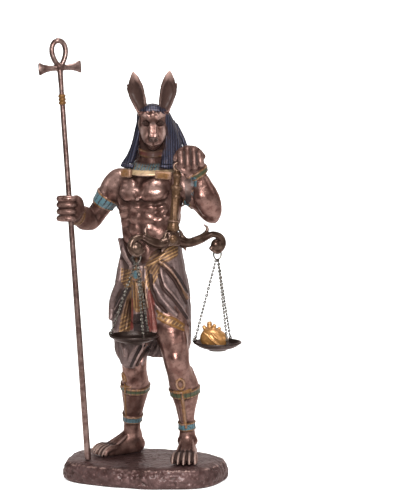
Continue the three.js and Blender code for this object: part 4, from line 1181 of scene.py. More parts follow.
    def kilt(self) -> None:
        """The kilt: a pleated cloth shell that flares to its hem, hollow underneath."""
        clay = self.clay
        down = (0, 0.12, 0.28, 0.46, 0.64, 0.82, 1)
        wide = (18.6, 19.8, 21.8, 23.8, 24.8, 25, 24.6)
        deep = (13.4, 14.8, 16.8, 18.6, 19.6, 19.8, 19.2)
        middle, wall, ceiling = (4.6, 3), 2.0, 108

        def spread(x: Grid, y: Grid, z: Grid) -> tuple[Grid, Grid, Grid]:
            """Distance to the kilt's side, and the heights of its waist and hem."""
            angle = np.arctan2((y - middle[1]) / 0.78, x - middle[0])
            top, foot = self.waist(angle), self.hem(angle)
            share = np.clip((top - z) / (top - foot), 0, 1)
            sway = 0.35 * np.sin(3 * angle + z * 0.05)
            pleat = np.abs(np.sin(9.5 * (angle + 0.12 * sway) + 0.4)) ** 0.7 - 0.6
            puff = 1 + 0.075 * share * pleat
            a = (x - middle[0]) / (np.interp(share, down, wide) * puff)
            b = (y - middle[1]) / (np.interp(share, down, deep) * puff)
            near = np.sqrt(a**2 + b**2)
            slope = np.sqrt((a / 22) ** 2 + (b / 16) ** 2)
            return near * (near - 1) / np.maximum(slope, 1e-3), top, foot

        def solid(x: Grid, y: Grid, z: Grid) -> Grid:
            """The kilt with no hollow."""
            side, top, foot = spread(x, y, z)
            return larger(side, np.maximum(z - top, foot - z) * 0.9, 1.2)

        def inside(x: Grid, y: Grid, z: Grid) -> Grid:
            """The hollow under the kilt."""
            side = spread(x, y, z)[0]
            return np.maximum(side + wall, z - ceiling)

        low, high = np.array([-24, -20, 70]), np.array([33, 26, 155])
        clay.current = Paint.CLOTH
        clay.add(Shape(low, high, solid), 0.6)
        clay.current = None
        clay.cut(Shape(low, np.array([33, 26, ceiling]), inside), 0.6)

    KILT_RIDGES = (
        (((121, 240), (124, 252), (130, 262), (134, 267)), 1.9, 2.2),
        (((122, 262), (121, 274), (119, 283), (113, 300), (112, 318)), 2.2, 2.4),
        (((134, 268), (133, 276), (133, 284)), 1.0, 0.9),
        (((128, 300), (122, 310), (116, 322)), 1.4, 1.6),
        (((124, 292), (117, 305), (114, 320)), 1.4, 1.5),
        (((160, 262), (168, 268), (178, 280), (187, 298)), 1.5, 1.8),
        (((161, 270), (163, 282), (172, 296), (183, 312), (189, 324)), 1.7, 1.7),
        (((155, 285), (160, 296), (168, 306), (176, 315)), 1.6, 1.6),
        (((153, 295), (156, 304), (160, 311)), 1.3, 1.3),
        (((150, 272), (153, 282), (154, 292)), 1.2, 1.1),
    )
    KILT_VALLEYS = (
        (((128, 291), (121, 302), (115, 313)), 0.8, 0.9),
        (((126, 289), (118, 299), (113, 309)), 0.8, 0.9),
        (((159, 275), (163, 288), (172, 298), (180, 308), (187, 318)), 0.9, 1.3),
        (((152, 290), (157, 302), (166, 312)), 0.9, 1.2),
        (((166, 270), (176, 283), (186, 303)), 0.8, 1.1),
        (((122, 237), (120, 250)), 0.8, 0.8),
        (((126, 244), (129, 256), (134, 264)), 0.7, 0.7),
        (((151, 275), (152, 290)), 0.6, 0.8),
        (((130, 288), (125, 298), (120, 314)), 0.8, 0.9),
        (((121, 290), (115, 303), (112, 320)), 0.7, 0.8),
        (((172, 268), (180, 279), (187, 292)), 0.7, 0.7),
        (((141, 346), (135, 357), (131, 366)), 0.7, 0.8),
        (((149, 346), (142, 356), (137, 365)), 0.7, 0.8),
    )
    HEM_LINES = (
        ((157, 311), (165, 316), (175, 319), (184, 325)),
        ((158, 318), (166, 323), (176, 327), (184, 330)),
    )
    LOWER_FOLDS = (
        ((144, 346), (138, 356), (133, 367)), ((137, 345), (132, 353), (129, 361)),
        ((152, 346), (146, 355), (142, 364)),
        ((158, 345), (156, 350), (153, 356)), ((122, 344), (124, 350), (125, 356)),
    )
    BELT_PATCH = ((150, 256), (158, 248), (168, 245), (178, 243), (178, 256), (168, 262), (160, 263),
                  (150, 272), (144, 268))
    HIP_PATCH = ((121, 268), (131, 270), (133, 284), (127, 290), (121, 282))
    ROLLED_BAND = ((159, 262), (168, 268), (178, 280), (187, 298))
    BELT_TAB = ((146, 268), (160, 264), (159, 276), (153, 286), (149, 291), (145, 282))
    APRON = ((133, 281), (144, 281), (147, 308), (140, 312), (133, 313))
    APRON_SHADE = ((132.5, 314), (146.5, 313), (149, 334), (134, 334))
    LEFT_LINING = ((129.5, 294), (133, 298), (133.6, 328), (130.6, 331), (128.4, 316))
    LEFT_SASH_END = ((121, 317), (130, 317), (130.5, 332), (118.5, 332))
    CORD_RUNS = (
        (((128, 163), (168, 163), (168, 171.5), (128, 171.5)), (1, 0.35), 2.6),
        (((134, 108), (142, 112), (142, 140), (136, 170), (112, 170), (124, 145), (132, 124)), (0.96, 0.26),
         2.4),
        (((164, 108), (176, 116), (196, 150), (186, 172), (158, 172), (163, 144), (165, 130)), (1, -0.02),
         2.4),
        (((143, 100), (163, 100), (163, 113), (143, 113)), (1, 0), 2.4),
    )
    ARM_SHADE = ((184, 180), (190.5, 178), (191.5, 200), (186, 206))
    ARM_BAND = ((191, 176.5), (197, 178), (196.5, 187), (190.5, 186))
    ALMOND = ((-4.2, 0.2), (-1.6, -2.5), (2.0, -2.1), (4.6, 1.8), (1.8, 3.0), (-1.8, 2.6))
    RIGHT_LAPPET_END = ((159.5, 163), (175, 161.5), (175, 170), (159.5, 170.5))
    HEM_BORDER = ((157, 310), (165, 315), (175, 318), (185, 325), (184, 331), (176, 328), (166, 324),
                  (158, 319))
    WEAVES = (
        (BELT_PATCH, (0.45, 0.9), 3.0), (HIP_PATCH, (0.3, 1), 3.2), (BELT_TAB, (0.8, 0.5), 3.0),
        (APRON, (1, -0.06), 2.8), (HEM_BORDER, (1, 0.9), 3.6), (LEFT_SASH_END, (0.5, 1), 3.6),
    )
    MEDALLION = (136.5, 274)
    APRON_STRIPES = (135.5, 138.5, 141.5)
    APRON_BORDER = ((144.7, 283), (146, 295), (147.8, 308))
    LEFT_SASH = ((128, 286), (132, 286), (131.5, 310), (130, 331), (119, 331), (121, 315), (126, 300))
    RIGHT_SASH = ((145, 282), (148.5, 282), (152, 300), (155, 331), (149.5, 331), (148, 312))
    SASH_LINING = ((148, 282), (153, 290), (158, 332), (147, 332), (147, 312))
    LEFT_SASH_FOLDS = (((128, 300), (125, 315), (122, 330)), ((130.5, 300), (128.5, 315), (126.5, 330)))
    RIGHT_SASH_FOLDS = (((147, 290), (150, 308), (151.5, 329)),)

    def kilt_folds(self) -> None:
        """The rolled belt round the kilt, and the folds and hem lines on its front."""
        clay = self.clay
        belt = [(math.radians(turn), 0) for turn in range(0, 360, 15)]
        ring = []
        for angle, _ in belt + belt[:1]:
            top = float(self.waist(np.array(angle))) - 1.6
            ring.append((4.4 + 18.2 * math.cos(angle), 3 + 13.2 * math.sin(angle), top, 1.5))
        clay.current = Paint.CLOTH
        clay.add(strand(ring, 2), 0.9)
        for line, radius, lift in self.KILT_RIDGES:
            clay.ridge(line, radius, lift, 1.2)
        for line in self.LOWER_FOLDS:
            clay.ridge(line, 1.1, 1.0, 1.0)
        for line, radius, depth in self.KILT_VALLEYS:
            clay.groove(line, 1.3 * radius, 1.25 * depth, 0.8)
        clay.current = None
        for line in self.HEM_LINES:
            clay.ridge(line, 0.5, 0.45, 0.4)

    def regalia(self) -> None:
        """Apron, sashes and medallion."""
        clay = self.clay
        clay.current = Paint.CLOTH
        clay.add(strand([(1.2, -15.4, 138, 2.6), (1.1, -17, 122, 3.4), (1, -18, 105, 3.6)]), 2.5)
        axes = clay.facing(unit((0.05, -1, 0.1)))
        clay.add(block((1.2, -17.4, 122), (4.4, 1.5, 16), turned((5, 0, 4)), 0.6), 0.6)
        for path in (
            [(-2.8, -15.2, 136, 1.9), (-5, -17, 122, 2.3), (-7.6, -18, 108, 2.8), (-9.8, -17.8, 97, 2.6)],
            [(-5, -15.4, 124, 1.3), (-9.4, -16.6, 108, 2.0), (-12.6, -16, 97, 2.2)],
            [(5.6, -15.2, 136, 1.5), (8.4, -17.2, 120, 1.9), (11, -17.8, 106, 2.0), (12.4, -17.4, 97.5, 1.9)],
        ):
            clay.add(strand(path), 0.7)
        clay.current = None
        for line in self.LEFT_SASH_FOLDS + self.RIGHT_SASH_FOLDS:
            clay.groove(line, 0.55, 0.7)
        for px in self.APRON_STRIPES:
            clay.ridge(((px, 284), (px + 0.6, 296), (px + 1.2, 308)), 0.45, 0.4, 0.3)
        clay.ridge(self.APRON_BORDER, 0.7, 0.7, 0.3)
        point, out = clay.touch(*self.MEDALLION)
        axes = clay.facing(out)
        clay.current = Paint.SKY
        clay.add(ellipsoid(point + out * 0.6, (3.1, 3.3, 1.6), axes), 0.3)
        clay.current = Paint.GOLD
        clay.add(torus(point + out * 1.1, axes, 3.2, 0.8, 1.08), 0.2)
        clay.add(clay.trace(((136.5, 258), (136.6, 268)), 0.8, 0.9), 0.2)
        clay.current = None

    RIGHT_GRIP = (-42, -22, 172.0)
    RIGHT_FINGERS = (198.6, 204.8, 211.5, 218.4)
    RIGHT_THUMB = ((79.5, 210, -3, 3.2), (79, 202.5, -1.5, 2.9), (76.4, 198.6, 1, 2.3),
                   (72.5, 198.8, 3.2, 1.7))
    LEFT_GRIP = (33.8, -13, 204.5)
    LEFT_FINGERS = (
        ((181.0, 150.6), (181.6, 165.5)), ((187.4, 147.6), (187.8, 168)), ((193.6, 148.2), (194.6, 167.5)),
        ((199.2, 152), (200.8, 164.5)),
    )
    LEFT_THUMB = ((199, 172.5, -1.5, 2.4), (191.5, 173, 1.6, 2.3), (184.4, 171, 3.4, 2.1),
                  (178.6, 166, 3.4, 1.8))
    LEFT_KNUCKLE = (176.6, 158, 0.5)
    LEFT_ARCH = ((178.5, 153, -1.5, 1.9), (184, 149.6, -1.2, 2.1), (191, 148.6, -1.2, 2.1),
                 (197, 150.4, -1.4, 2.0), (202.4, 156.5, -2, 2.1))
    LEFT_HEEL = (198.5, 168.5, -1.0)
    FINGER_GAP_SHADE = (((184.0, 151.6), (184.8, 164)), ((190.4, 150), (191.2, 165.5)),
                   ((196.4, 151.8), (197.4, 164.5)))
    LEFT_THUMB_TIP = (188, 175, 1.5)

    def right_fist(self) -> None:
        """The right hand closed round the staff."""
        clay, grip = self.clay, self.RIGHT_GRIP
        clay.add(ellipsoid(np.array(grip) + (2.4, 2.8, 0), (6, 5, 7.4)), 1.5)
        clay.add(strand([(-39.4, -15.5, 168.2, 4.2), (*(np.array(grip) + (3, 2, -2)), 4.4)]), 2)
        for py in self.RIGHT_FINGERS:
            rows = ((60.4, py - 0.2, -3, 1.7), (59.4, py, 0.5, 2.0), (61.6, py, 3.8, 2.1),
                    (67, py + 0.1, 5.2, 2.15),
                    (71.8, py + 0.2, 4.8, 2.05), (74.6, py + 0.3, 2.4, 1.6))
            clay.add(self.face_rope(rows, grip), 0.2)
        clay.add(self.face_rope(self.RIGHT_THUMB, grip), 0.4)

    def left_fist(self) -> None:
        """The raised left hand, closed with its fingers to the front, and the room for the hook's ring."""
        clay, grip = self.clay, self.LEFT_GRIP
        clay.add(ellipsoid(np.array(grip) + (1.6, 2, -0.6), (6.6, 5.4, 6.4)), 1.5)
        clay.add(strand([(37, -11.6, 197, 4.4), (*(np.array(grip) + (2.4, 1, -2)), 5.2)]), 2)
        clay.add(self.face_oval((190, 160, -1.0), (7.2, 7.4, 3.6), 0, grip), 1.0)
        clay.add(self.face_oval(self.LEFT_HEEL, (5.0, 5.0, 4.4), -20, grip), 1.0)
        for (px, py), (bx, by) in self.LEFT_FINGERS:
            across, down = bx - px, by - py
            rows = ((px + 1.2, py + 3, -5, 1.9), (px + 0.2, py + 1.2, -1.4, 2.2), (px, py + 3, 2.2, 2.4),
                    (px + 0.5 * across, py + 0.5 * down, 4.2, 2.15), (bx, by - 1, 4.2, 2.3),
                    (bx + 0.3, by + 1.4, 1.4, 1.7))
            clay.add(self.face_rope(rows, grip), 0.12)
        clay.add(self.face_oval(self.LEFT_KNUCKLE, (2.2, 3.4, 2.6), -12, grip), 0.4)
        clay.add(self.face_rope(self.LEFT_ARCH, grip), 0.5)
        clay.add(self.face_rope(self.LEFT_THUMB, grip), 0.15)
        clay.add(self.face_oval(self.LEFT_THUMB_TIP, (2.5, 2.6, 2.3), 0, grip), 0.5)
        clay.cut(block((27.3, -15.8, 199.4), (3.5, 1.25, 3.6), turned((0, 0, 20)), 0.6), 0.3)

    CUFFS = (
        (Cuff((-25.2, 3.6, 176.4), (-6.5, 0.3, -9.3), 3.9, 11), Paint.SKY),
        (Cuff((34, 4.4, 178.8), (7.4, -1.4, -7.2), 3.0, 11), Paint.SKY),
        (Cuff((38.8, -10.8, 195.2), (-3.2, -2.4, 6), 2.1, 8), Paint.GREEN),
        (Cuff((-39.0, -14.6, 167.6), (-2, -9, 2.6), 1.8, 7), Paint.GOLD),
        (Cuff((-7.2, 4.6, 57.6), (1, -1.6, 6), 2.1, 12), Paint.GREEN),
        (Cuff((26, 2.4, 56.6), (-0.2, -1.2, 6), 2.5, 12), Paint.GREEN),
        (Cuff((-10.7, 10.3, 37.0), (2, -3.2, 11), 2.6, 9), Paint.SKY),
        (Cuff((26.8, 5.8, 34), (-0.2, -0.7, 6), 2.7, 9), Paint.SKY),
        (Cuff((6.0, 2.4, 208.6), (0.05, -0.28, 1), 2.0, 10.4, 0.5), Paint.LINING),
    )

    def bands(self) -> None:
        """Raises the arm bands, bracelets, garters and anklets with their rims; their chased pattern is painted
        with the zones.
        """
        for cuff, _ in self.CUFFS:
            cuff.raise_on(self.clay)

    def shin_ankhs(self) -> None:
        """The gold ankh that hangs from each garter down the shin."""
        clay = self.clay
        clay.current = Paint.GOLD
        for loop, shaft, arms, size in (
            ((180.4, 384), ((181.5, 391), (183.5, 408), (186, 428)),
             ((174, 391.5), (181, 392.5), (191, 389.5)), 3.0),
            ((124.3, 377), ((125, 384), (125.4, 398), (126, 416)),
             ((119.8, 386), (125, 386.5), (131, 387.5)), 2.3),
        ):
            point, out = clay.touch(*loop)
            clay.add(torus(point + out * 0.3, clay.facing(out, 6), size * 0.78, 0.8, 1.5), 0.1)
            clay.add(clay.trace(shaft, size * 0.34, 0.8), 0.1)
            clay.add(clay.trace(arms, size * 0.28, 0.9), 0.1)
        clay.current = None

    def staff_room(self) -> None:
        """Bores the right fist for the staff."""
        clay = self.clay
        foot, head = np.array((-31.6, -17.4, 13.3)), np.array((-44.6, -24.6, 243.4))
        ends = [(*(foot + (head - foot) * share), 2.05) for share in (0.6, 0.78)]
        clay.cut(strand(ends), 0.1)

    EAR_SHADE = {
        -1: ((126, 88), (131, 82), (139, 83), (144.6, 91), (147, 103), (145.4, 112), (138.5, 111), (128, 99)),
        1: ((159.6, 89), (165.5, 80), (173.5, 82), (178, 90), (175, 101), (168.5, 110), (160.6, 113),
            (157.6, 101)),
    }

    def cuff_zones(self, cuff: Cuff, paint: Paint) -> None:
        """Paints a band with its gold rims and bars, and leaves the wig in front of it alone."""
        clay = self.clay

        def bare(points: np.ndarray) -> np.ndarray:
            """Above 0 where no wig covers the band."""
            return -clay.sample(points, clay.own[Paint.WIG])

        clay.zone(paint, lambda p: np.minimum(cuff.depth(p), bare(p)))
        clay.zone(Paint.GOLD, lambda p: np.minimum(cuff.rims(p), bare(p)))
        if paint is not Paint.LINING:
            clay.zone(Paint.DARK, lambda p: np.minimum(np.minimum(cuff.depth(p),
                                                                  0.5 * np.sin(20 * cuff.angle(p)) - 0.32),
                                                                  bare(p)))

    def paint_zones(self) -> None:
        """Marks the colours that lie on the surface rather than on a form of their own."""
        clay = self.clay

        def by_pixel(corners: Sequence[Point], least: float = 2.0) -> Callable:
            """A zone on the front, inside an outline in the photo's pixels."""
            return lambda p: np.minimum(polygon_depth(PHOTO.pixels(p), corners), front(p, least))

        def stroke(line: Sequence[Point], half: float, least: float = 2.0) -> Callable:
            """A zone on the front, along a line in the photo's pixels."""
            return lambda p: np.minimum(line_depth(PHOTO.pixels(p), line, half), front(p, least))

        for cuff, paint in self.CUFFS:
            self.cuff_zones(cuff, paint)
        for corners in self.EAR_SHADE.values():
            clay.zone(Paint.EAR, by_pixel(corners, -6))
        for corners, _, _ in self.WEAVES:
            clay.zone(Paint.WEAVE, by_pixel(corners))
        clay.zone(Paint.WEAVE, stroke(self.ROLLED_BAND, 1.2))
        clay.zone(Paint.WEAVE, by_pixel(self.LEFT_SASH))
        # Painted shade along the valleys of the kilt's folds.
        for line, _, _ in self.KILT_VALLEYS:
            clay.zone(Paint.DARK, stroke(line, 1.0))
        clay.zone(Paint.DARK, by_pixel(self.APRON_SHADE))
        clay.zone(Paint.LINING, by_pixel(self.LEFT_LINING))
        clay.zone(Paint.LINING, by_pixel(self.SASH_LINING))
        for line in self.HEM_LINES:
            clay.zone(Paint.GOLD, stroke(line, 0.8))
        clay.zone(Paint.BRASS, stroke(self.APRON_BORDER, 0.7))
        for px in self.APRON_STRIPES:
            clay.zone(Paint.GOLD, stroke(((px, 284), (px + 1.2, 308)), 0.45))
        collar_top, collar_mid = 201.8, 198.0

        def ring_zone(z_low: float, z_high: float) -> Callable:
            """A zone of the collar between two heights on its slope."""
            def depth(p: np.ndarray) -> np.ndarray:
                """How far points are inside it."""
                level = self.collar_level(p[:, 1], p[:, 2])
                away = np.hypot((p[:, 0] - self.collar_middle[0]) / 16.4,
                                (p[:, 1] - self.collar_middle[1]) / 15.6)
                return np.minimum(np.minimum(level - z_low, z_high - level), (1 - away) * 14)
            return depth

        clay.zone(Paint.SKY, ring_zone(collar_mid, collar_top))
        clay.zone(Paint.CREAM, ring_zone(195.0, collar_mid))
        beads = ring_zone(collar_mid + 0.3, collar_top)

        def bead_gaps(p: np.ndarray) -> np.ndarray:
            """The dark gaps between the collar's beads."""
            angle = np.arctan2(p[:, 1] - self.collar_middle[1], p[:, 0] - self.collar_middle[0])
            level = self.collar_level(p[:, 1], p[:, 2])
            rows = 0.4 * np.cos(40 * angle) * np.cos(2 * math.pi * (level - collar_mid) / 1.9) - 0.1
            return np.minimum(beads(p), rows)

        clay.zone(Paint.DARK, bead_gaps)
        clay.zone(Paint.PLUM, by_pixel(self.RIGHT_LAPPET_END))
        clay.zone(Paint.DARK, by_pixel(self.ARM_SHADE))
        # Painted shade in the gaps between the raised fist's fingers.
        for line in self.FINGER_GAP_SHADE:
            clay.zone(Paint.DARK, stroke(line, 0.7))
        clay.zone(Paint.SKY, by_pixel(self.ARM_BAND))
        for px, py in self.EYES:
            way = 1 if px < 153 else -1
            clay.zone(Paint.EYE, by_pixel([(px + way * across, py + down) for across,
                                           down in self.ALMOND[::way]]))

    def threads(self, points: np.ndarray) -> np.ndarray:
        """Where each point lies across the threads of its cloth or the cords of the wig, in turns."""
        pixels, ahead = PHOTO.pixels(points), points @ PHOTO.toward
        turns = np.zeros(len(points))
        for runs, least in ((self.CORD_RUNS, -14), (self.WEAVES, 2)):
            for corners, slope, pitch in runs:
                inside = (polygon_depth(pixels, corners) > -1.2) & (ahead > least)
                turns = np.where(inside, pixels @ unit(slope) / pitch, turns)
        return turns


class Recipe:
    """A node material in the making."""

    def __init__(self, name: str) -> None:
        """Starts with a Principled shader that reads the piece's own coordinates."""
        self.material = bpy.data.materials.new(name)
        self.material.use_nodes = True
        self.tree = self.material.node_tree
        self.tree.nodes.clear()
        self.shader = self.tree.nodes.new("ShaderNodeBsdfPrincipled")
        self.output = self.tree.nodes.new("ShaderNodeOutputMaterial")
        self.tree.links.new(self.shader.outputs[0], self.output.inputs[0])
        self.place = self.tree.nodes.new("ShaderNodeTexCoord").outputs["Object"]

    def feed(self, socket: Socket, value: Value) -> None:
        """Links or sets a socket."""
        if isinstance(value, bpy.types.NodeSocket):
            self.tree.links.new(value, socket)
        else:
            socket.default_value = value

    def maths(self, operation: str, a: Value, b: Value = 0.0, clamp: bool = False) -> Socket:
        """A sum, product or the like of two numbers."""
        node = self.tree.nodes.new("ShaderNodeMath")
        node.operation = operation
        node.use_clamp = clamp
        self.feed(node.inputs[0], a)
        self.feed(node.inputs[1], b)
        return node.outputs[0]

    def clear_behind(self) -> None:
        """Makes the sheet see-through from its back, so that the figurine can be looked at from behind."""
        nodes, links = self.tree.nodes, self.tree.links
        side, clear, choice = (nodes.new(kind) for kind in (
            "ShaderNodeNewGeometry", "ShaderNodeBsdfTransparent", "ShaderNodeMixShader"))
        for n, socket in enumerate((side.outputs["Backfacing"], self.shader.outputs[0], clear.outputs[0])):
            links.new(socket, choice.inputs[n])
        links.new(choice.outputs[0], self.output.inputs[0])

    def stored(self, name: str) -> Socket:
        """A number kept on the mesh."""
        node = self.tree.nodes.new("ShaderNodeAttribute")
        node.attribute_name = name
        return node.outputs["Fac"]

    def noise(self, size: float, detail: float = 3.0, stretch: Point = (1, 1, 1)) -> Socket:
        """Lumps of about size millimetres, from 0 to 1."""
        mapping = self.tree.nodes.new("ShaderNodeMapping")
        mapping.inputs["Scale"].default_value = stretch
        self.feed(mapping.inputs["Vector"], self.place)
        node = self.tree.nodes.new("ShaderNodeTexNoise")
        node.inputs["Scale"].default_value = 1 / (size * MM)
        node.inputs["Detail"].default_value = detail
        self.tree.links.new(mapping.outputs[0], node.inputs["Vector"])
        return node.outputs["Fac"]

    def step(self, value: Value, start: float, end: float) -> Socket:
        """A soft step from 0 at start to 1 at end."""
        node = self.tree.nodes.new("ShaderNodeMapRange")
        node.interpolation_type = "SMOOTHSTEP"
        self.feed(node.inputs["Value"], value)
        self.feed(node.inputs["From Min"], start)
        self.feed(node.inputs["From Max"], end)
        return node.outputs["Result"]

    def mix(self, share: Value, a: Value, b: Value) -> Socket:
        """Colour a turning to colour b."""
        node = self.tree.nodes.new("ShaderNodeMix")
        node.data_type = "RGBA"
        self.feed(node.inputs[0], share)
        for socket, colour in ((node.inputs[6], a), (node.inputs[7], b)):
            self.feed(socket, colour if isinstance(colour, bpy.types.NodeSocket) else (*colour, 1))
        return node.outputs[2]

    def blend(self, share: Value, a: Value, b: Value) -> Socket:
        """Number a turning to number b."""
        node = self.tree.nodes.new("ShaderNodeMix")
        self.feed(node.inputs[0], share)
        self.feed(node.inputs[2], a)
        self.feed(node.inputs[3], b)
        return node.outputs[0]

    def bump(self, height: Value, depth: float, strength: float = 1.0) -> None:
        """Fine grain on the surface, depth in millimetres."""
        node = self.tree.nodes.new("ShaderNodeBump")
        node.inputs["Strength"].default_value = strength
        node.inputs["Distance"].default_value = depth * MM
        self.feed(node.inputs["Height"], height)
        self.tree.links.new(node.outputs[0], self.shader.inputs["Normal"])


@dataclass(frozen=True)
class PaintedBronze:
    """Bronze with patina and painted shade in its hollows, worn edges, painted highlights, and paint where the
    piece wears it.
    """

    name: str
    paints: tuple[Paint, ...] = ()
    base: tuple = (0.092, 0.051, 0.042)
    # Pale bronze of worn edges, which is also the colour of the painted highlights.
    rubbed_and_highlight_tint: tuple = (0.330, 0.215, 0.185)
    # Dark of the patina in hollows, which is also the colour of the painted shade.
    recess: tuple = (0.018, 0.008, 0.006)
    metallic: float = 0.72
    roughness: float = 0.29
    fine: float = 0.16
    broad: float = 0.55
    grain: float = 0.09
    coat: float = 0.02

    def material(self) -> bpy.types.Material:
        """Builds the nodes."""
        recipe = Recipe(self.name)
        lumps = recipe.noise(5, 4)
        specks = recipe.noise(0.9, 3)
        ruddy = (0.72 * self.base[0], 0.60 * self.base[1], 0.58 * self.base[2])
        colour = recipe.mix(recipe.step(lumps, 0.36, 0.62), ruddy, tuple(1.3 * c for c in self.base))
        metallic, roughness = self.metallic, recipe.blend(lumps, self.roughness - 0.06, self.roughness + 0.1)
        wobble = recipe.maths("MULTIPLY", recipe.maths("SUBTRACT", specks, 0.5), 0.5)
        fine, broad = recipe.stored("fine_relief"), recipe.stored("broad_relief")
        edge = recipe.step(recipe.maths("ADD", fine, wobble), self.fine * 1.2, self.fine * 3.4)
        colour = recipe.mix(recipe.maths("MULTIPLY", edge, 0.45), colour, self.rubbed_and_highlight_tint)
        crests = recipe.maths("SINE", recipe.maths("MULTIPLY", recipe.stored("threads"), 2 * math.pi))
        lines = recipe.step(crests, 0.0, 0.7)
        # Stored spots of painted shade, and of painted highlight that is partly paler worn bronze.
        painted_shade, rub_and_highlight = recipe.stored("painted_shade"), recipe.stored("rub_and_highlight")
        # Worn edges together with the painted highlight spots.
        rubbing_and_highlight = recipe.maths("MAXIMUM", recipe.maths("MULTIPLY", edge, 0.28), rub_and_highlight)
        for paint in sorted(self.paints, key=lambda paint: paint is Paint.WIG):
            if paint is Paint.WIG:
                colour = recipe.mix(rubbing_and_highlight, colour, self.rubbed_and_highlight_tint)
            tint, metal, rough = paint.value
            if paint in THREAD_TINTS:
                tint = recipe.mix(lines, tint, THREAD_TINTS[paint])
            depth = recipe.maths("ADD", recipe.stored("paint_" + paint.name.lower()), wobble)
            share = recipe.step(depth, -0.12, 0.15)
            colour = recipe.mix(share, colour, tint)
            metallic = recipe.blend(share, metallic, metal)
            roughness = recipe.blend(share, roughness, rough)
        if Paint.WIG not in self.paints:
            colour = recipe.mix(rubbing_and_highlight, colour, self.rubbed_and_highlight_tint)
        metallic = recipe.blend(rub_and_highlight, metallic, 0.35)
        roughness = recipe.blend(painted_shade, roughness, 0.7)
        # Patina darkens the fine hollows; the broad hollows are darkened as painted shade.
        hollow = recipe.step(fine, -0.02, -self.fine * 2.0)
        deep = recipe.step(broad, 0.1, -self.broad)
        dark = recipe.maths("MAXIMUM", hollow, recipe.maths("MULTIPLY", deep, 0.8))
        grime = recipe.maths("MULTIPLY", recipe.step(recipe.noise(1.7, 3), 0.5, 0.68), 0.4)
        # Painted shade spots and random grime both darken towards the recess colour.
        colour = recipe.mix(recipe.maths("MAXIMUM", painted_shade, grime), colour, self.recess)
        colour = recipe.mix(recipe.maths("MULTIPLY", dark, 0.92), colour, self.recess)
        roughness = recipe.blend(recipe.maths("MULTIPLY", dark, 0.7), roughness, 0.75)
        recipe.shader.inputs["Specular Tint"].default_value = (0.55, 0.42, 0.38, 1)
        recipe.shader.inputs["Coat Weight"].default_value = self.coat
        recipe.shader.inputs["Coat Roughness"].default_value = 0.28
        recipe.shader.inputs["Coat IOR"].default_value = 1.8
        recipe.feed(recipe.shader.inputs["Base Color"], colour)
        recipe.feed(recipe.shader.inputs["Metallic"], metallic)
        recipe.feed(recipe.shader.inputs["Roughness"], roughness)
        recipe.bump(recipe.maths("ADD", specks, recipe.maths("MULTIPLY", lumps, 2.0)), self.grain)
        return recipe.material


def relief(clay: Clay, obj: bpy.types.Object, points: np.ndarray, fine: float = 1.6,
           broad: float = 5.0) -> None:
    """Keeps on a mesh how far each point stands above its surroundings, near and wide."""
    store(obj, "fine_relief", clay.sample(points, clay.curvature(fine)))
    store(obj, "broad_relief", clay.sample(points, clay.curvature(broad)))


@dataclass
class Plinth:
    """The rough rock slab underfoot, flat below."""

    step: float = 0.55
    half: tuple = (52.0, 34.0)
    power: float = 2.7
    profile: tuple = ((0, -1.6), (1.6, -0.2), (5.85, 0), (9, -0.6), (11.4, -2), (13, -5))

    def build(self) -> bpy.types.Object:
        """Shapes the slab, with its cracks and chipped ledges."""
        clay = Clay((-58, -40, -2), (58, 40, 18), self.step)
        cuts, x, y, z = clay.window((-58, -40, -2), (58, 40, 18))
        angle = np.arctan2(y, x)
        rough = 1 + 0.018 * np.sin(3 * angle + 0.6) + 0.014 * np.sin(5 * angle + 2.1) + 0.01 * np.sin(9 * angle)
        heights, outs = zip(*self.profile)
        out = np.interp(z, heights, outs)
        near = (np.abs(x / (self.half[0] * rough)) ** self.power + np.abs(y / (self.half[1] * rough)) ** self.power)
        near = near ** (1 / self.power)
        side = (near - 1) * np.hypot(x, y) / np.maximum(near, 1e-3) * 0.85 - out
        strata = 0.45 * lattice_noise(x, y, z * 2.2, 3.4, 1) + 0.7 * lattice_noise(x, y, z, 7, 2)
        strata = strata + 0.4 * lattice_noise(x, y, z, 1.5, 3)
        crack = np.abs(lattice_noise(x, y, z, 8, 4) + 0.4 * lattice_noise(x, y, z, 3, 5))
        strata = strata + 0.4 * fade(crack, 0.0, 0.08) - 0.4
        top = z - 12.9 + 0.35 * lattice_noise(x, y, z, 6, 6) + 0.2 * lattice_noise(x, y, z, 1.8, 7)
        top = top + 0.4 - 0.4 * fade(crack, 0.0, 0.07)
        rubble = strata * fade(z, 0.0, 2.0) * 0.85
        clay.field[cuts] = larger(larger(side - rubble, top, 1.5), -z, 0.2)
        obj, points = clay.mesh("rock_plinth", 120_000)
        points[:, 2] = np.maximum(points[:, 2], 0)
        obj.data.vertices.foreach_set("co", (points * MM).astype(np.float32).ravel())
        relief(clay, obj, points)
        dress(obj, PaintedBronze("rock_bronze", base=(0.036, 0.019, 0.018), roughness=0.48, metallic=0.6,
                                 fine=0.14, grain=0.2, coat=0.06).material(), "bronze", "plinth")
        return obj


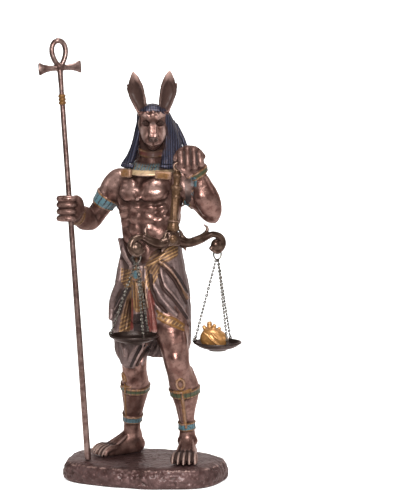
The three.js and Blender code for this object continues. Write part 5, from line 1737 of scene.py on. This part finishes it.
@dataclass
class Staff:
    """The ankh staff: shaft, three gold rings and the ankh."""

    foot: tuple = (-31.6, -17.4, 13.3)
    head: tuple = (-44.6, -24.6, 243.4)
    turn: float = 34.0
    step: float = 0.4

    def build(self) -> bpy.types.Object:
        """Shapes, paints and places the staff."""
        foot, head = np.array(self.foot), np.array(self.head)
        up = unit(head - foot)
        turn = math.radians(self.turn)
        side = unit(np.array([math.cos(turn), math.sin(turn),
                              0]) - up * (math.cos(turn) * up[0] + math.sin(turn) * up[1]))
        axes = np.stack([side, np.cross(up, side), up], 1)

        def at(across: float, out: float, high: float) -> np.ndarray:
            """A place by its distances from the top of the shaft."""
            return head + axes @ np.array([across, out, high])

        clay = PaintedClay((-62, -36, 11.5), (-26, -10, 283), self.step)
        clay.add(strand([(*foot, 2.05), (*(foot * 0.5 + head * 0.5), 1.85), (*head, 1.65)]), 0)
        clay.current = Paint.GOLD
        for n in range(3):
            clay.add(torus(head - up * (1 + 2.1 * n), axes, 1.5, 0.95), 0.3)
        clay.current = None
        clay.add(strand([(*at(0, 0, 0), 1.5), (*at(0, 0, 9), 1.7), (*at(0, 0, 17), 1.9)]), 0.4)
        arm = [(0, 0, 1.7, 1.4), (0.45, 0, 1.9, 1.4), (0.75, 0, 2.8, 1.35), (0.93, 0, 4.0, 1.3),
               (1, 0, 3.5, 1.2)]
        for way in (-1, 1):
            clay.add(blade(at(way * 0.3, 0, 16.4), at(way * 13.5, 0, 16.4), axes[:, 1], arm), 0.8)
        half_loop = [(0.7, 17.5), (2.9, 21), (4.3, 25.5), (4.0, 29.6), (2.2, 32.4), (0, 33.1)]
        for way in (-1, 1):
            for out in (-0.6, 0.6):
                clay.add(strand([(*at(way * a, out, b), 1.5) for a, b in half_loop]), 0.8)
        clay.cut(block((0, 0, 8.3), (100, 100, 5), np.eye(3), 0.05))
        obj, points = clay.mesh("ankh_staff_cast", 60_000)
        used = clay.store_paints(obj, points)
        relief(clay, obj, points, 1.2, 4.0)
        finish = PaintedBronze("bronze_staff", tuple(used), base=(0.088, 0.058, 0.051), fine=0.22)
        dress(obj, finish.material(), "bronze", "ankh_staff")
        return obj


BEAM_BOSS = (24, -16.6, 155)
BEAM_TURN = 36.0
BEAM_REACH = (22.4, 28.6)


def beam_point(across: float, up: float, out: float = 0.0) -> np.ndarray:
    """A place by its distance along the beam, above the boss and in front of it."""
    turn = math.radians(BEAM_TURN)
    shift = (across * math.cos(turn) + out * math.sin(turn), across * math.sin(turn) - out * math.cos(turn),
             up)
    return np.array(BEAM_BOSS) + shift


@dataclass(frozen=True)
class Hanger:
    """One pan's ring and chains: how far out along the beam it hangs, and the middle of the pan's rim."""

    name: str
    across: float
    rim: tuple
    drop: float = 10.6
    radius: float = 2.5
    stretch: float = 1.42
    wire: float = 0.55
    rim_angles: tuple = (190, 310, 70)

    def ring(self, spare: float = 0.0) -> Shape:
        """The ring through the beam's scroll."""
        axes = turned((0, 0, BEAM_TURN)) @ UPRIGHT
        return torus(beam_point(self.across, -self.drop), axes, self.radius, self.wire + spare, self.stretch)

    def chain_ends(self, n: int, bead: float = 0.85, gap: float = 0.3) -> tuple[np.ndarray, np.ndarray]:
        """Top and foot of the n-th chain."""
        angle = math.radians(self.rim_angles[n])
        away = np.array([math.cos(angle), math.sin(angle), 0])
        foot = self.drop + self.radius * self.stretch + self.wire
        top = beam_point(self.across, -foot - gap) + away * 1.1
        low = np.array(self.rim) + away * 14.2 + (0, 0, bead + gap)
        return top, low


HANGERS = (
    Hanger("empty_pan", -BEAM_REACH[0] - 1, (4.6, -35, 96.6)),
    Hanger("heart_pan", BEAM_REACH[1] + 1.2, (48.6, -0.6, 89)),
)


@dataclass
class ScaleBeam:
    """The scales' scrolled beam, turned post, boss and the ring in the fist."""

    scroll: float = 4.6
    ring: tuple = (27.3, -15.8, 199.4)
    post: tuple = ((2.9, 3.2), (2.9, 4.6), (3.9, 5.8), (3.6, 8), (2.9, 12), (2.7, 20), (2.8, 29.6),
                   (3.4, 30.6), (3.4, 32.4),
                   (2.1, 33.6), (2.3, 38), (2.9, 39.4), (1.6, 41.6), (0.2, 41.8))
    step: float = 0.35

    def rope(self, way: int, *rows: Point) -> Shape:
        """A rope through (distance out along one arm, height, radius)."""
        return strand([(*beam_point(way * u, w), r) for u, w, r in rows], 4)

    def build(self) -> bpy.types.Object:
        """Shapes and places the beam."""
        clay = PaintedClay((-4, -38, 138), (54, 6, 204), self.step)
        for way, long in zip((-1, 1), BEAM_REACH):
            end, s = long - 0.92, self.scroll
            clay.add(self.rope(way, (2, -1, 2.9), (0.36 * end, -3, 2.9), (0.66 * end, -1.4, 2.5),
                               (0.86 * end, 1, 2.1),
                               (end, 1.7, 2.0), (end + s, -0.4, 2.0), (end + 1.24 * s, -1.1 * s, 2.0),
                               (end + 0.5 * s, -1.95 * s, 1.9), (end - 0.4 * s, -1.5 * s, 1.6)), 0.3)
            clay.add(ellipsoid(beam_point(way * (end + 0.4 * s), -1.05 * s), (4.0, 2.9, 4.0),
                               turned((0, 0, BEAM_TURN))), 0.4)
            clay.add(self.rope(way, (0.5 * end, -1, 1.6), (0.68 * end, 0.8, 1.4), (0.81 * end, 3.4, 1.2),
                               (0.83 * end, 6, 0.9), (0.75 * end, 8, 0.5)), 0.5)
            clay.add(self.rope(way, (0.36 * end, -2, 1.4), (0.24 * end, 1, 1.3), (0.19 * end, 4.2, 0.9),
                               (0.14 * end, 5.4, 0.5)), 0.5)
            clay.add(self.rope(way, (0.16 * end, -3.2, 1.4), (0.28 * end, -5.8, 1),
                               (0.32 * end, -7.8, 0.4)), 0.5)
            for lift in (-1.1, 1.1):
                rows = ((0.2 * end, -2.4 + lift), (0.45 * end, -3 + lift), (0.68 * end, -1.2 + lift),
                        (0.9 * end, 1.4 + 0.8 * lift))
                clay.add(strand([(*beam_point(way * u, w, 2.0), 0.55) for u, w in rows], 4), 0.2)
        box = turned((0, 0, BEAM_TURN))
        clay.add(block(beam_point(0, 0, 0), (3.8, 3.2, 4.2), box, 0.5), 0.4)
        clay.current = Paint.BRASS
        clay.add(ellipsoid(beam_point(-0.6, 0, 3.2), (2.4, 1.6, 2.4), box), 0.1)
        clay.current = None
        clay.add(torus(beam_point(-0.6, 0, 3.0), box @ UPRIGHT, 2.9, 0.5), 0.2)
        lean = unit((0.075, 0.02, 1))
        foot = np.array(BEAM_BOSS)
        table = np.array(self.post)

        def turning(x: Grid, y: Grid, z: Grid) -> Grid:
            """Distance to the turned post."""
            dx, dy, dz = x - foot[0], y - foot[1], z - foot[2]
            high = dx * lean[0] + dy * lean[1] + dz * lean[2]
            away = np.sqrt(np.maximum(dx**2 + dy**2 + dz**2 - high**2, 0))
            round_rows = smooth_path(table, 4)
            flutes = 0.35 * np.abs(np.cos(4 * np.arctan2(dy, dx))) * fade(high, 9,
                13) * (1 - fade(high, 27, 29))
            side = (away + flutes - np.interp(high, round_rows[:, 1], round_rows[:, 0])) * 0.9
            return np.maximum(side, np.maximum(high - 41.8, 3 - high))

        clay.current = Paint.BRASS
        clay.add(Shape(foot - 5, foot + (9, 7, 44), turning), 0.2)
        for high, radius in ((31.5, 2.9), (7, 3.4), (11, 3.2), (26, 2.2)):
            ring_axes = np.stack([unit(np.cross((0, 1, 0), lean)),
                                  np.cross(lean, unit(np.cross((0, 1, 0), lean))), lean], 1)
            clay.add(torus(foot + lean * high, ring_axes, radius, 0.6), 0.3)
        axes = turned((0, 0, 20)) @ UPRIGHT
        clay.add(torus(self.ring, axes, 2.4, 0.8), 0.2)
        clay.current = None
        for hanger in HANGERS:
            clay.cut(hanger.ring(0.3))
        obj, points = clay.mesh("scale_beam_cast", 90_000)
        used = clay.store_paints(obj, points)
        relief(clay, obj, points, 1.2, 4.0)
        finish = PaintedBronze("bronze_scales", tuple(used), base=(0.040, 0.025, 0.018), fine=0.15)
        dress(obj, finish.material(), "dark_bronze", "scale_beam")
        return obj


@dataclass(frozen=True)
class GoldPaint:
    """Bright gold paint, worn to brown in the hollows."""

    name: str
    colour: tuple = (0.230, 0.110, 0.034)
    worn: tuple = (0.050, 0.020, 0.008)
    metallic: float = 0.55
    roughness: float = 0.34

    def material(self) -> bpy.types.Material:
        """Builds the nodes."""
        recipe = Recipe(self.name)
        specks = recipe.noise(1.2, 4)
        hollow = recipe.step(recipe.stored("fine_relief"), 0.05, -0.3)
        colour = recipe.mix(recipe.step(specks, 0.4, 0.75), self.colour, tuple(1.3 * c for c in self.colour))
        colour = recipe.mix(recipe.maths("MULTIPLY", hollow, 0.9), colour, self.worn)
        recipe.feed(recipe.shader.inputs["Base Color"], colour)
        recipe.feed(recipe.shader.inputs["Metallic"], self.metallic)
        recipe.feed(recipe.shader.inputs["Roughness"], recipe.blend(hollow, self.roughness, 0.6))
        recipe.bump(specks, 0.15)
        return recipe.material


@dataclass(frozen=True)
class ChainMetal:
    """Plain tarnished wire."""

    name: str
    colour: tuple = (0.105, 0.092, 0.078)
    tarnish: tuple = (0.020, 0.016, 0.013)

    def material(self) -> bpy.types.Material:
        """Builds the nodes."""
        recipe = Recipe(self.name)
        patches = recipe.noise(2.5, 3)
        colour = recipe.mix(recipe.step(patches, 0.4, 0.7), self.colour, self.tarnish)
        recipe.feed(recipe.shader.inputs["Base Color"], colour)
        recipe.feed(recipe.shader.inputs["Metallic"], 0.9)
        recipe.feed(recipe.shader.inputs["Roughness"], recipe.blend(patches, 0.25, 0.5))
        return recipe.material


@dataclass
class Pan:
    """A shallow dish with a rolled rim."""

    hanger: Hanger
    step: float = 0.3
    outside: tuple = ((0, -5), (6.75, -4.3), (12, -2.5), (15, 0))
    inside: tuple = ((0, -3.9), (6.3, -3.5), (11.4, -2), (13.9, 0.1))

    def build(self, finish: bpy.types.Material) -> bpy.types.Object:
        """Shapes the dish."""
        rim = np.array(self.hanger.rim)
        clay = Clay(rim - (18, 18, 7), rim + (18, 18, 3), self.step)

        def dish(x: Grid, y: Grid, z: Grid) -> Grid:
            """Distance to the dish."""
            away = np.hypot(x - rim[0], y - rim[1])
            high = z - rim[2]
            bowls = [smooth_path(rows, 6) for rows in (self.outside, self.inside)]
            out, into = (np.interp(away, b[:, 0], b[:, 1]) for b in bowls)
            shell = np.maximum((out - high) * 0.9, (high - into) * 0.9)
            return np.maximum(shell, away - 14.8)

        clay.add(Shape(rim - (15, 15, 5), rim + (15, 15, 0.5), dish))
        clay.add(torus(rim + (0, 0, -0.1), np.eye(3), 14.5, 0.65), 0.4)
        clay.add(torus(rim + (0, 0, -4.75), np.eye(3), 5.2, 0.5), 0.5)
        for angle in self.hanger.rim_angles:
            turn = turned((0, 0, angle))
            clay.add(torus(rim + turn @ (14.3, 0, 1.0), turn @ UPRIGHT, 1.15, 0.4), 0.1)
        obj, points = clay.mesh(self.hanger.name + "_dish", 60_000)
        relief(clay, obj, points, 1.2, 3.5)
        dress(obj, finish, "dark_bronze", self.hanger.name)
        return obj


@dataclass
class Heart:
    """The golden heart that lies in the pan, with its cut vessels."""

    hanger: Hanger
    step: float = 0.3

    def build(self) -> bpy.types.Object:
        """Shapes the heart and trims it to the dish."""
        x, y, rim = self.hanger.rim
        floor = rim - 3.6
        clay = Clay((x - 14, y - 11, floor - 1), (x + 14, y + 11, floor + 20), self.step)
        clay.add(ellipsoid((x - 3.8, y - 0.4, floor + 6.4), (7.4, 6.4, 6.4), turn=(0, -14, 0)), 1.5)
        clay.add(ellipsoid((x + 0.6, y - 0.2, floor + 5.8), (6.6, 5.8, 5.4), turn=(0, 22, 0)), 1.5)
        clay.add(ellipsoid((x - 6.0, y - 1.6, floor + 9.2), (3.2, 3, 2.6)), 1.0)
        for base, tip, wide, thin in (
            ((-5, 0, 10.5), (-5.2, 0, 15.4), 1.9, 1.6), ((-3, -1, 10.5), (-1.6, -1.2, 14.2), 1.5, 1.3),
            ((-7, 0, 10), (-8.8, -0.4, 13.2), 1.4, 1.2), ((-1.4, 0.6, 9.8), (1.2, 0.6, 12.4), 1.3, 1.1),
        ):
            a, b = np.array((x, y, floor)) + base, np.array((x, y, floor)) + tip
            clay.add(strand([(*a, wide), (*b, thin)]), 0.8)
            clay.cut(ellipsoid(b + unit(b - a) * 1.0, (thin * 0.6,) * 3), 0.3)
        for rows in (
            ((-8, -5.6, 10), (-4, -7.2, 7.5), (0, -6.6, 4), (3.6, -5, 2)),
            ((-2, -6.4, 10), (1, -6.4, 7), (4.5, -4.6, 5)),
            ((-10, -3, 7), (-8, -5.6, 5), (-5, -6.4, 3)),
        ):
            clay.add(strand([(x + 0.94 * a, y + 0.94 * b, floor + c, 0.45) for a, b, c in rows]), 0.6)
        high = np.array(((5.6, 0.1), (11, 2.0), (13.4, 3.6), (15, 23)))

        def bowl(px: Grid, py: Grid, pz: Grid) -> Grid:
            """The dish under the heart, to be cut away."""
            away = np.hypot(px - x, py - y)
            return (pz - np.interp(away, high[:, 0], high[:, 1]) - floor) * 0.85

        clay.cut(Shape(np.array((x - 15, y - 15, floor - 3)), np.array((x + 15, y + 15, floor + 22)), bowl))
        obj, points = clay.mesh("golden_heart", 50_000)
        relief(clay, obj, points, 1.2, 3.5)
        dress(obj, GoldPaint("gold_paint").material(), "gold_paint", "heart")
        return obj


@dataclass
class Hanging:
    """The ring and the three chains that carry a pan."""

    hanger: Hanger
    pitch: float = 2.2
    link_wide: float = 2.15
    link_long: float = 3.1
    wire: float = 0.44

    def build(self, finish: bpy.types.Material) -> None:
        """Makes the ring and the chains."""
        centre = beam_point(self.hanger.across, -self.hanger.drop)
        clay = Clay(centre - 5, centre + 5, 0.16)
        clay.add(self.hanger.ring())
        ring, points = clay.mesh(self.hanger.name + "_hook_ring", 12_000)
        dress(ring, finish, "chain_metal", self.hanger.name + "_ring")
        tree = self.chain_tree()
        for n in range(3):
            name = f"{self.hanger.name}_chain_{n + 1}"
            self.chain(tree, n, finish, name)
        bpy.data.node_groups.remove(tree)

    def chain(self, tree: bpy.types.NodeTree, n: int, finish: bpy.types.Material, node: str) -> None:
        """Runs links down the line of one chain."""
        ends = np.array(self.hanger.chain_ends(n)) * MM
        mesh = bpy.data.meshes.new(node + "_line")
        mesh.from_pydata([tuple(end) for end in ends], [(0, 1)], [])
        obj = bpy.data.objects.new(node + "_links", mesh)
        bpy.context.scene.collection.objects.link(obj)
        links = obj.modifiers.new("links", "NODES")
        links.node_group = tree
        long = float(np.linalg.norm(ends[1] - ends[0])) / MM
        settings = {"Count": round(long / self.pitch) + 1, "Material": finish}
        for item in tree.interface.items_tree:
            if item.in_out == "INPUT" and item.name in settings:
                links[item.identifier] = settings[item.name]
        keep_evaluated(obj)
        obj.data.shade_smooth()
        dress(obj, finish, "chain_metal", node)

    def chain_tree(self) -> bpy.types.NodeTree:
        """Geometry nodes that set a link on each point of a line, every second one turned a quarter."""
        tree = bpy.data.node_groups.new("chain_links", "GeometryNodeTree")
        for name, kind in (("Geometry", "NodeSocketGeometry"), ("Count", "NodeSocketInt"),
                           ("Material", "NodeSocketMaterial")):
            tree.interface.new_socket(name, in_out="INPUT", socket_type=kind)
        tree.interface.new_socket("Geometry", in_out="OUTPUT", socket_type="NodeSocketGeometry")
        nodes, links = tree.nodes, tree.links
        source, target = nodes.new("NodeGroupInput"), nodes.new("NodeGroupOutput")
        line = nodes.new("GeometryNodeMeshToCurve")
        points = nodes.new("GeometryNodeResampleCurve")
        loop = nodes.new("GeometryNodeCurvePrimitiveCircle")
        loop.inputs["Resolution"].default_value = 14
        loop.inputs["Radius"].default_value = (self.link_wide / 2 - self.wire) * MM
        oval = nodes.new("GeometryNodeTransform")
        oval.inputs["Rotation"].default_value = (math.pi / 2, 0, 0)
        oval.inputs["Scale"].default_value = (1, 1,
                                              (self.link_long / 2 - self.wire) / (self.link_wide / 2 - self.wire))
        section = nodes.new("GeometryNodeCurvePrimitiveCircle")
        section.inputs["Resolution"].default_value = 6
        section.inputs["Radius"].default_value = self.wire * MM
        wire = nodes.new("GeometryNodeCurveToMesh")
        tangent = nodes.new("GeometryNodeInputTangent")
        align = nodes.new("FunctionNodeAlignRotationToVector")
        align.axis = "Z"
        index = nodes.new("GeometryNodeInputIndex")
        quarter = nodes.new("ShaderNodeMath")
        quarter.operation = "MULTIPLY"
        quarter.inputs[1].default_value = math.pi / 2
        turn = nodes.new("ShaderNodeCombineXYZ")
        spin = nodes.new("FunctionNodeRotateRotation")
        spin.rotation_space = "LOCAL"
        place = nodes.new("GeometryNodeInstanceOnPoints")
        real = nodes.new("GeometryNodeRealizeInstances")
        paint = nodes.new("GeometryNodeSetMaterial")
        for a, b in (
            (source.outputs["Geometry"], line.inputs[0]), (line.outputs[0], points.inputs["Curve"]),
            (source.outputs["Count"], points.inputs["Count"]), (loop.outputs[0], oval.inputs["Geometry"]),
            (oval.outputs[0], wire.inputs["Curve"]), (section.outputs[0], wire.inputs["Profile Curve"]),
            (tangent.outputs[0], align.inputs["Vector"]), (index.outputs[0], quarter.inputs[0]),
            (quarter.outputs[0], turn.inputs["Z"]), (align.outputs[0], spin.inputs["Rotation"]),
            (turn.outputs[0], spin.inputs["Rotate By"]), (points.outputs[0], place.inputs["Points"]),
            (wire.outputs[0], place.inputs["Instance"]), (spin.outputs[0], place.inputs["Rotation"]),
            (place.outputs[0], real.inputs[0]), (real.outputs[0], paint.inputs["Geometry"]),
            (source.outputs["Material"], paint.inputs["Material"]), (paint.outputs[0], target.inputs[0]),
        ):
            links.new(a, b)
        return tree


@dataclass
class Studio:
    """Pale floor, soft lights and the camera at the photograph's viewpoint."""

    lens: float = PHOTO.focal / 500 * 36

    def build(self) -> None:
        """Sets up floor, lights, world and camera."""
        self.floor()
        self.light("key", 2, 15, 1000, 220, 23.5)
        self.light("top", 6, 79, 900, 320, 12)
        self.light("left_side", -80, 22, 900, 400, 2.4)
        self.light("right_side", 75, 20, 900, 400, 2.4)
        self.world()
        self.camera()

    def floor(self) -> None:
        """A pale sheet that curves up behind."""
        near, far, top, bend = -260, 420, 1500, 260
        line = [(near, -0.15), (far, -0.15)]
        line += [(far + bend * math.sin(a), bend - 0.15 - bend * math.cos(a)) for a in np.linspace(0.1,
            math.pi / 2, 12)]
        line.append((far + bend, top))
        points = [(x, y, z) for x in (-700, 700) for y, z in line]
        count = len(line)
        quads = [(n, n + 1, n + 1 + count, n + count) for n in range(count - 1)]
        mesh = bpy.data.meshes.new("sweep")
        mesh.from_pydata([tuple(np.array(p) * MM) for p in points], [], [q[::-1] for q in quads])
        sweep = bpy.data.objects.new("sweep", mesh)
        bpy.context.scene.collection.objects.link(sweep)
        recipe = Recipe("pale_paper")
        recipe.feed(recipe.shader.inputs["Base Color"], (0.93, 0.93, 0.93, 1))
        recipe.feed(recipe.shader.inputs["Roughness"], 0.9)
        recipe.shader.inputs["Emission Color"].default_value = (1, 1, 1, 1)
        recipe.shader.inputs["Emission Strength"].default_value = 0.3
        recipe.clear_behind()
        mesh.materials.append(recipe.material)
        mesh.shade_smooth()

    @staticmethod
    def light(name: str, turn: float, lift: float, away: float, size: float, power: float) -> None:
        """One soft square light aimed at the figurine, turned to the right of the camera and lifted."""
        data = bpy.data.lights.new(name, "AREA")
        data.size = size * MM
        data.energy = power
        lamp = bpy.data.objects.new(name, data)
        angle, rise = math.radians(turn), math.radians(lift)
        level = PHOTO.toward * math.cos(angle) + PHOTO.right * math.sin(angle)
        aim = Vector((0, 0, 0.14))
        lamp.location = aim + Vector(level * math.cos(rise) + np.array([0, 0, math.sin(rise)])) * away * MM
        lamp.rotation_euler = (aim - lamp.location).to_track_quat("-Z", "Y").to_euler()
        bpy.context.scene.collection.objects.link(lamp)

    @staticmethod
    def world() -> None:
        """Even white light all round."""
        world = bpy.data.worlds.new("white_room")
        bpy.context.scene.world = world
        world.use_nodes = True
        backdrop = world.node_tree.nodes["Background"]
        backdrop.inputs["Color"].default_value = (1, 1, 1, 1)
        backdrop.inputs["Strength"].default_value = 0.04

    def camera(self) -> None:
        """The camera."""
        data = bpy.data.cameras.new("photo_view")
        data.sensor_fit = "VERTICAL"
        data.sensor_height = 36
        data.lens = self.lens
        data.clip_start, data.clip_end = 0.05, 20
        camera = bpy.data.objects.new("photo_view", data)
        eye = Vector(PHOTO.eye) * MM
        camera.location = eye
        camera.rotation_euler = (Vector(PHOTO.look) * MM - eye).to_track_quat("-Z", "Y").to_euler()
        bpy.context.scene.collection.objects.link(camera)
        bpy.context.scene.camera = camera
        bpy.context.scene.view_settings.view_transform = "Standard"


def main() -> None:
    """Builds the dressed figurine and logs each piece's faces."""
    logging.basicConfig(level=logging.INFO, format="%(message)s")
    chain_metal = ChainMetal("chain_metal").material()
    dish_metal = PaintedBronze("bronze_dish", base=(0.015, 0.010, 0.008), roughness=0.42, fine=0.3,
                               coat=0.06).material()
    builders = [Plinth().build, Figure().build, Staff().build, ScaleBeam().build, Heart(HANGERS[1]).build]
    for builder in builders:
        piece = builder()
        LOG.info("%s: %d faces", piece.name, len(piece.data.polygons))
    for hanger in HANGERS:
        piece = Pan(hanger).build(dish_metal)
        Hanging(hanger).build(chain_metal)
        LOG.info("%s: %d faces", piece.name, len(piece.data.polygons))
    Studio().build()


if __name__ == "__main__":
    main()
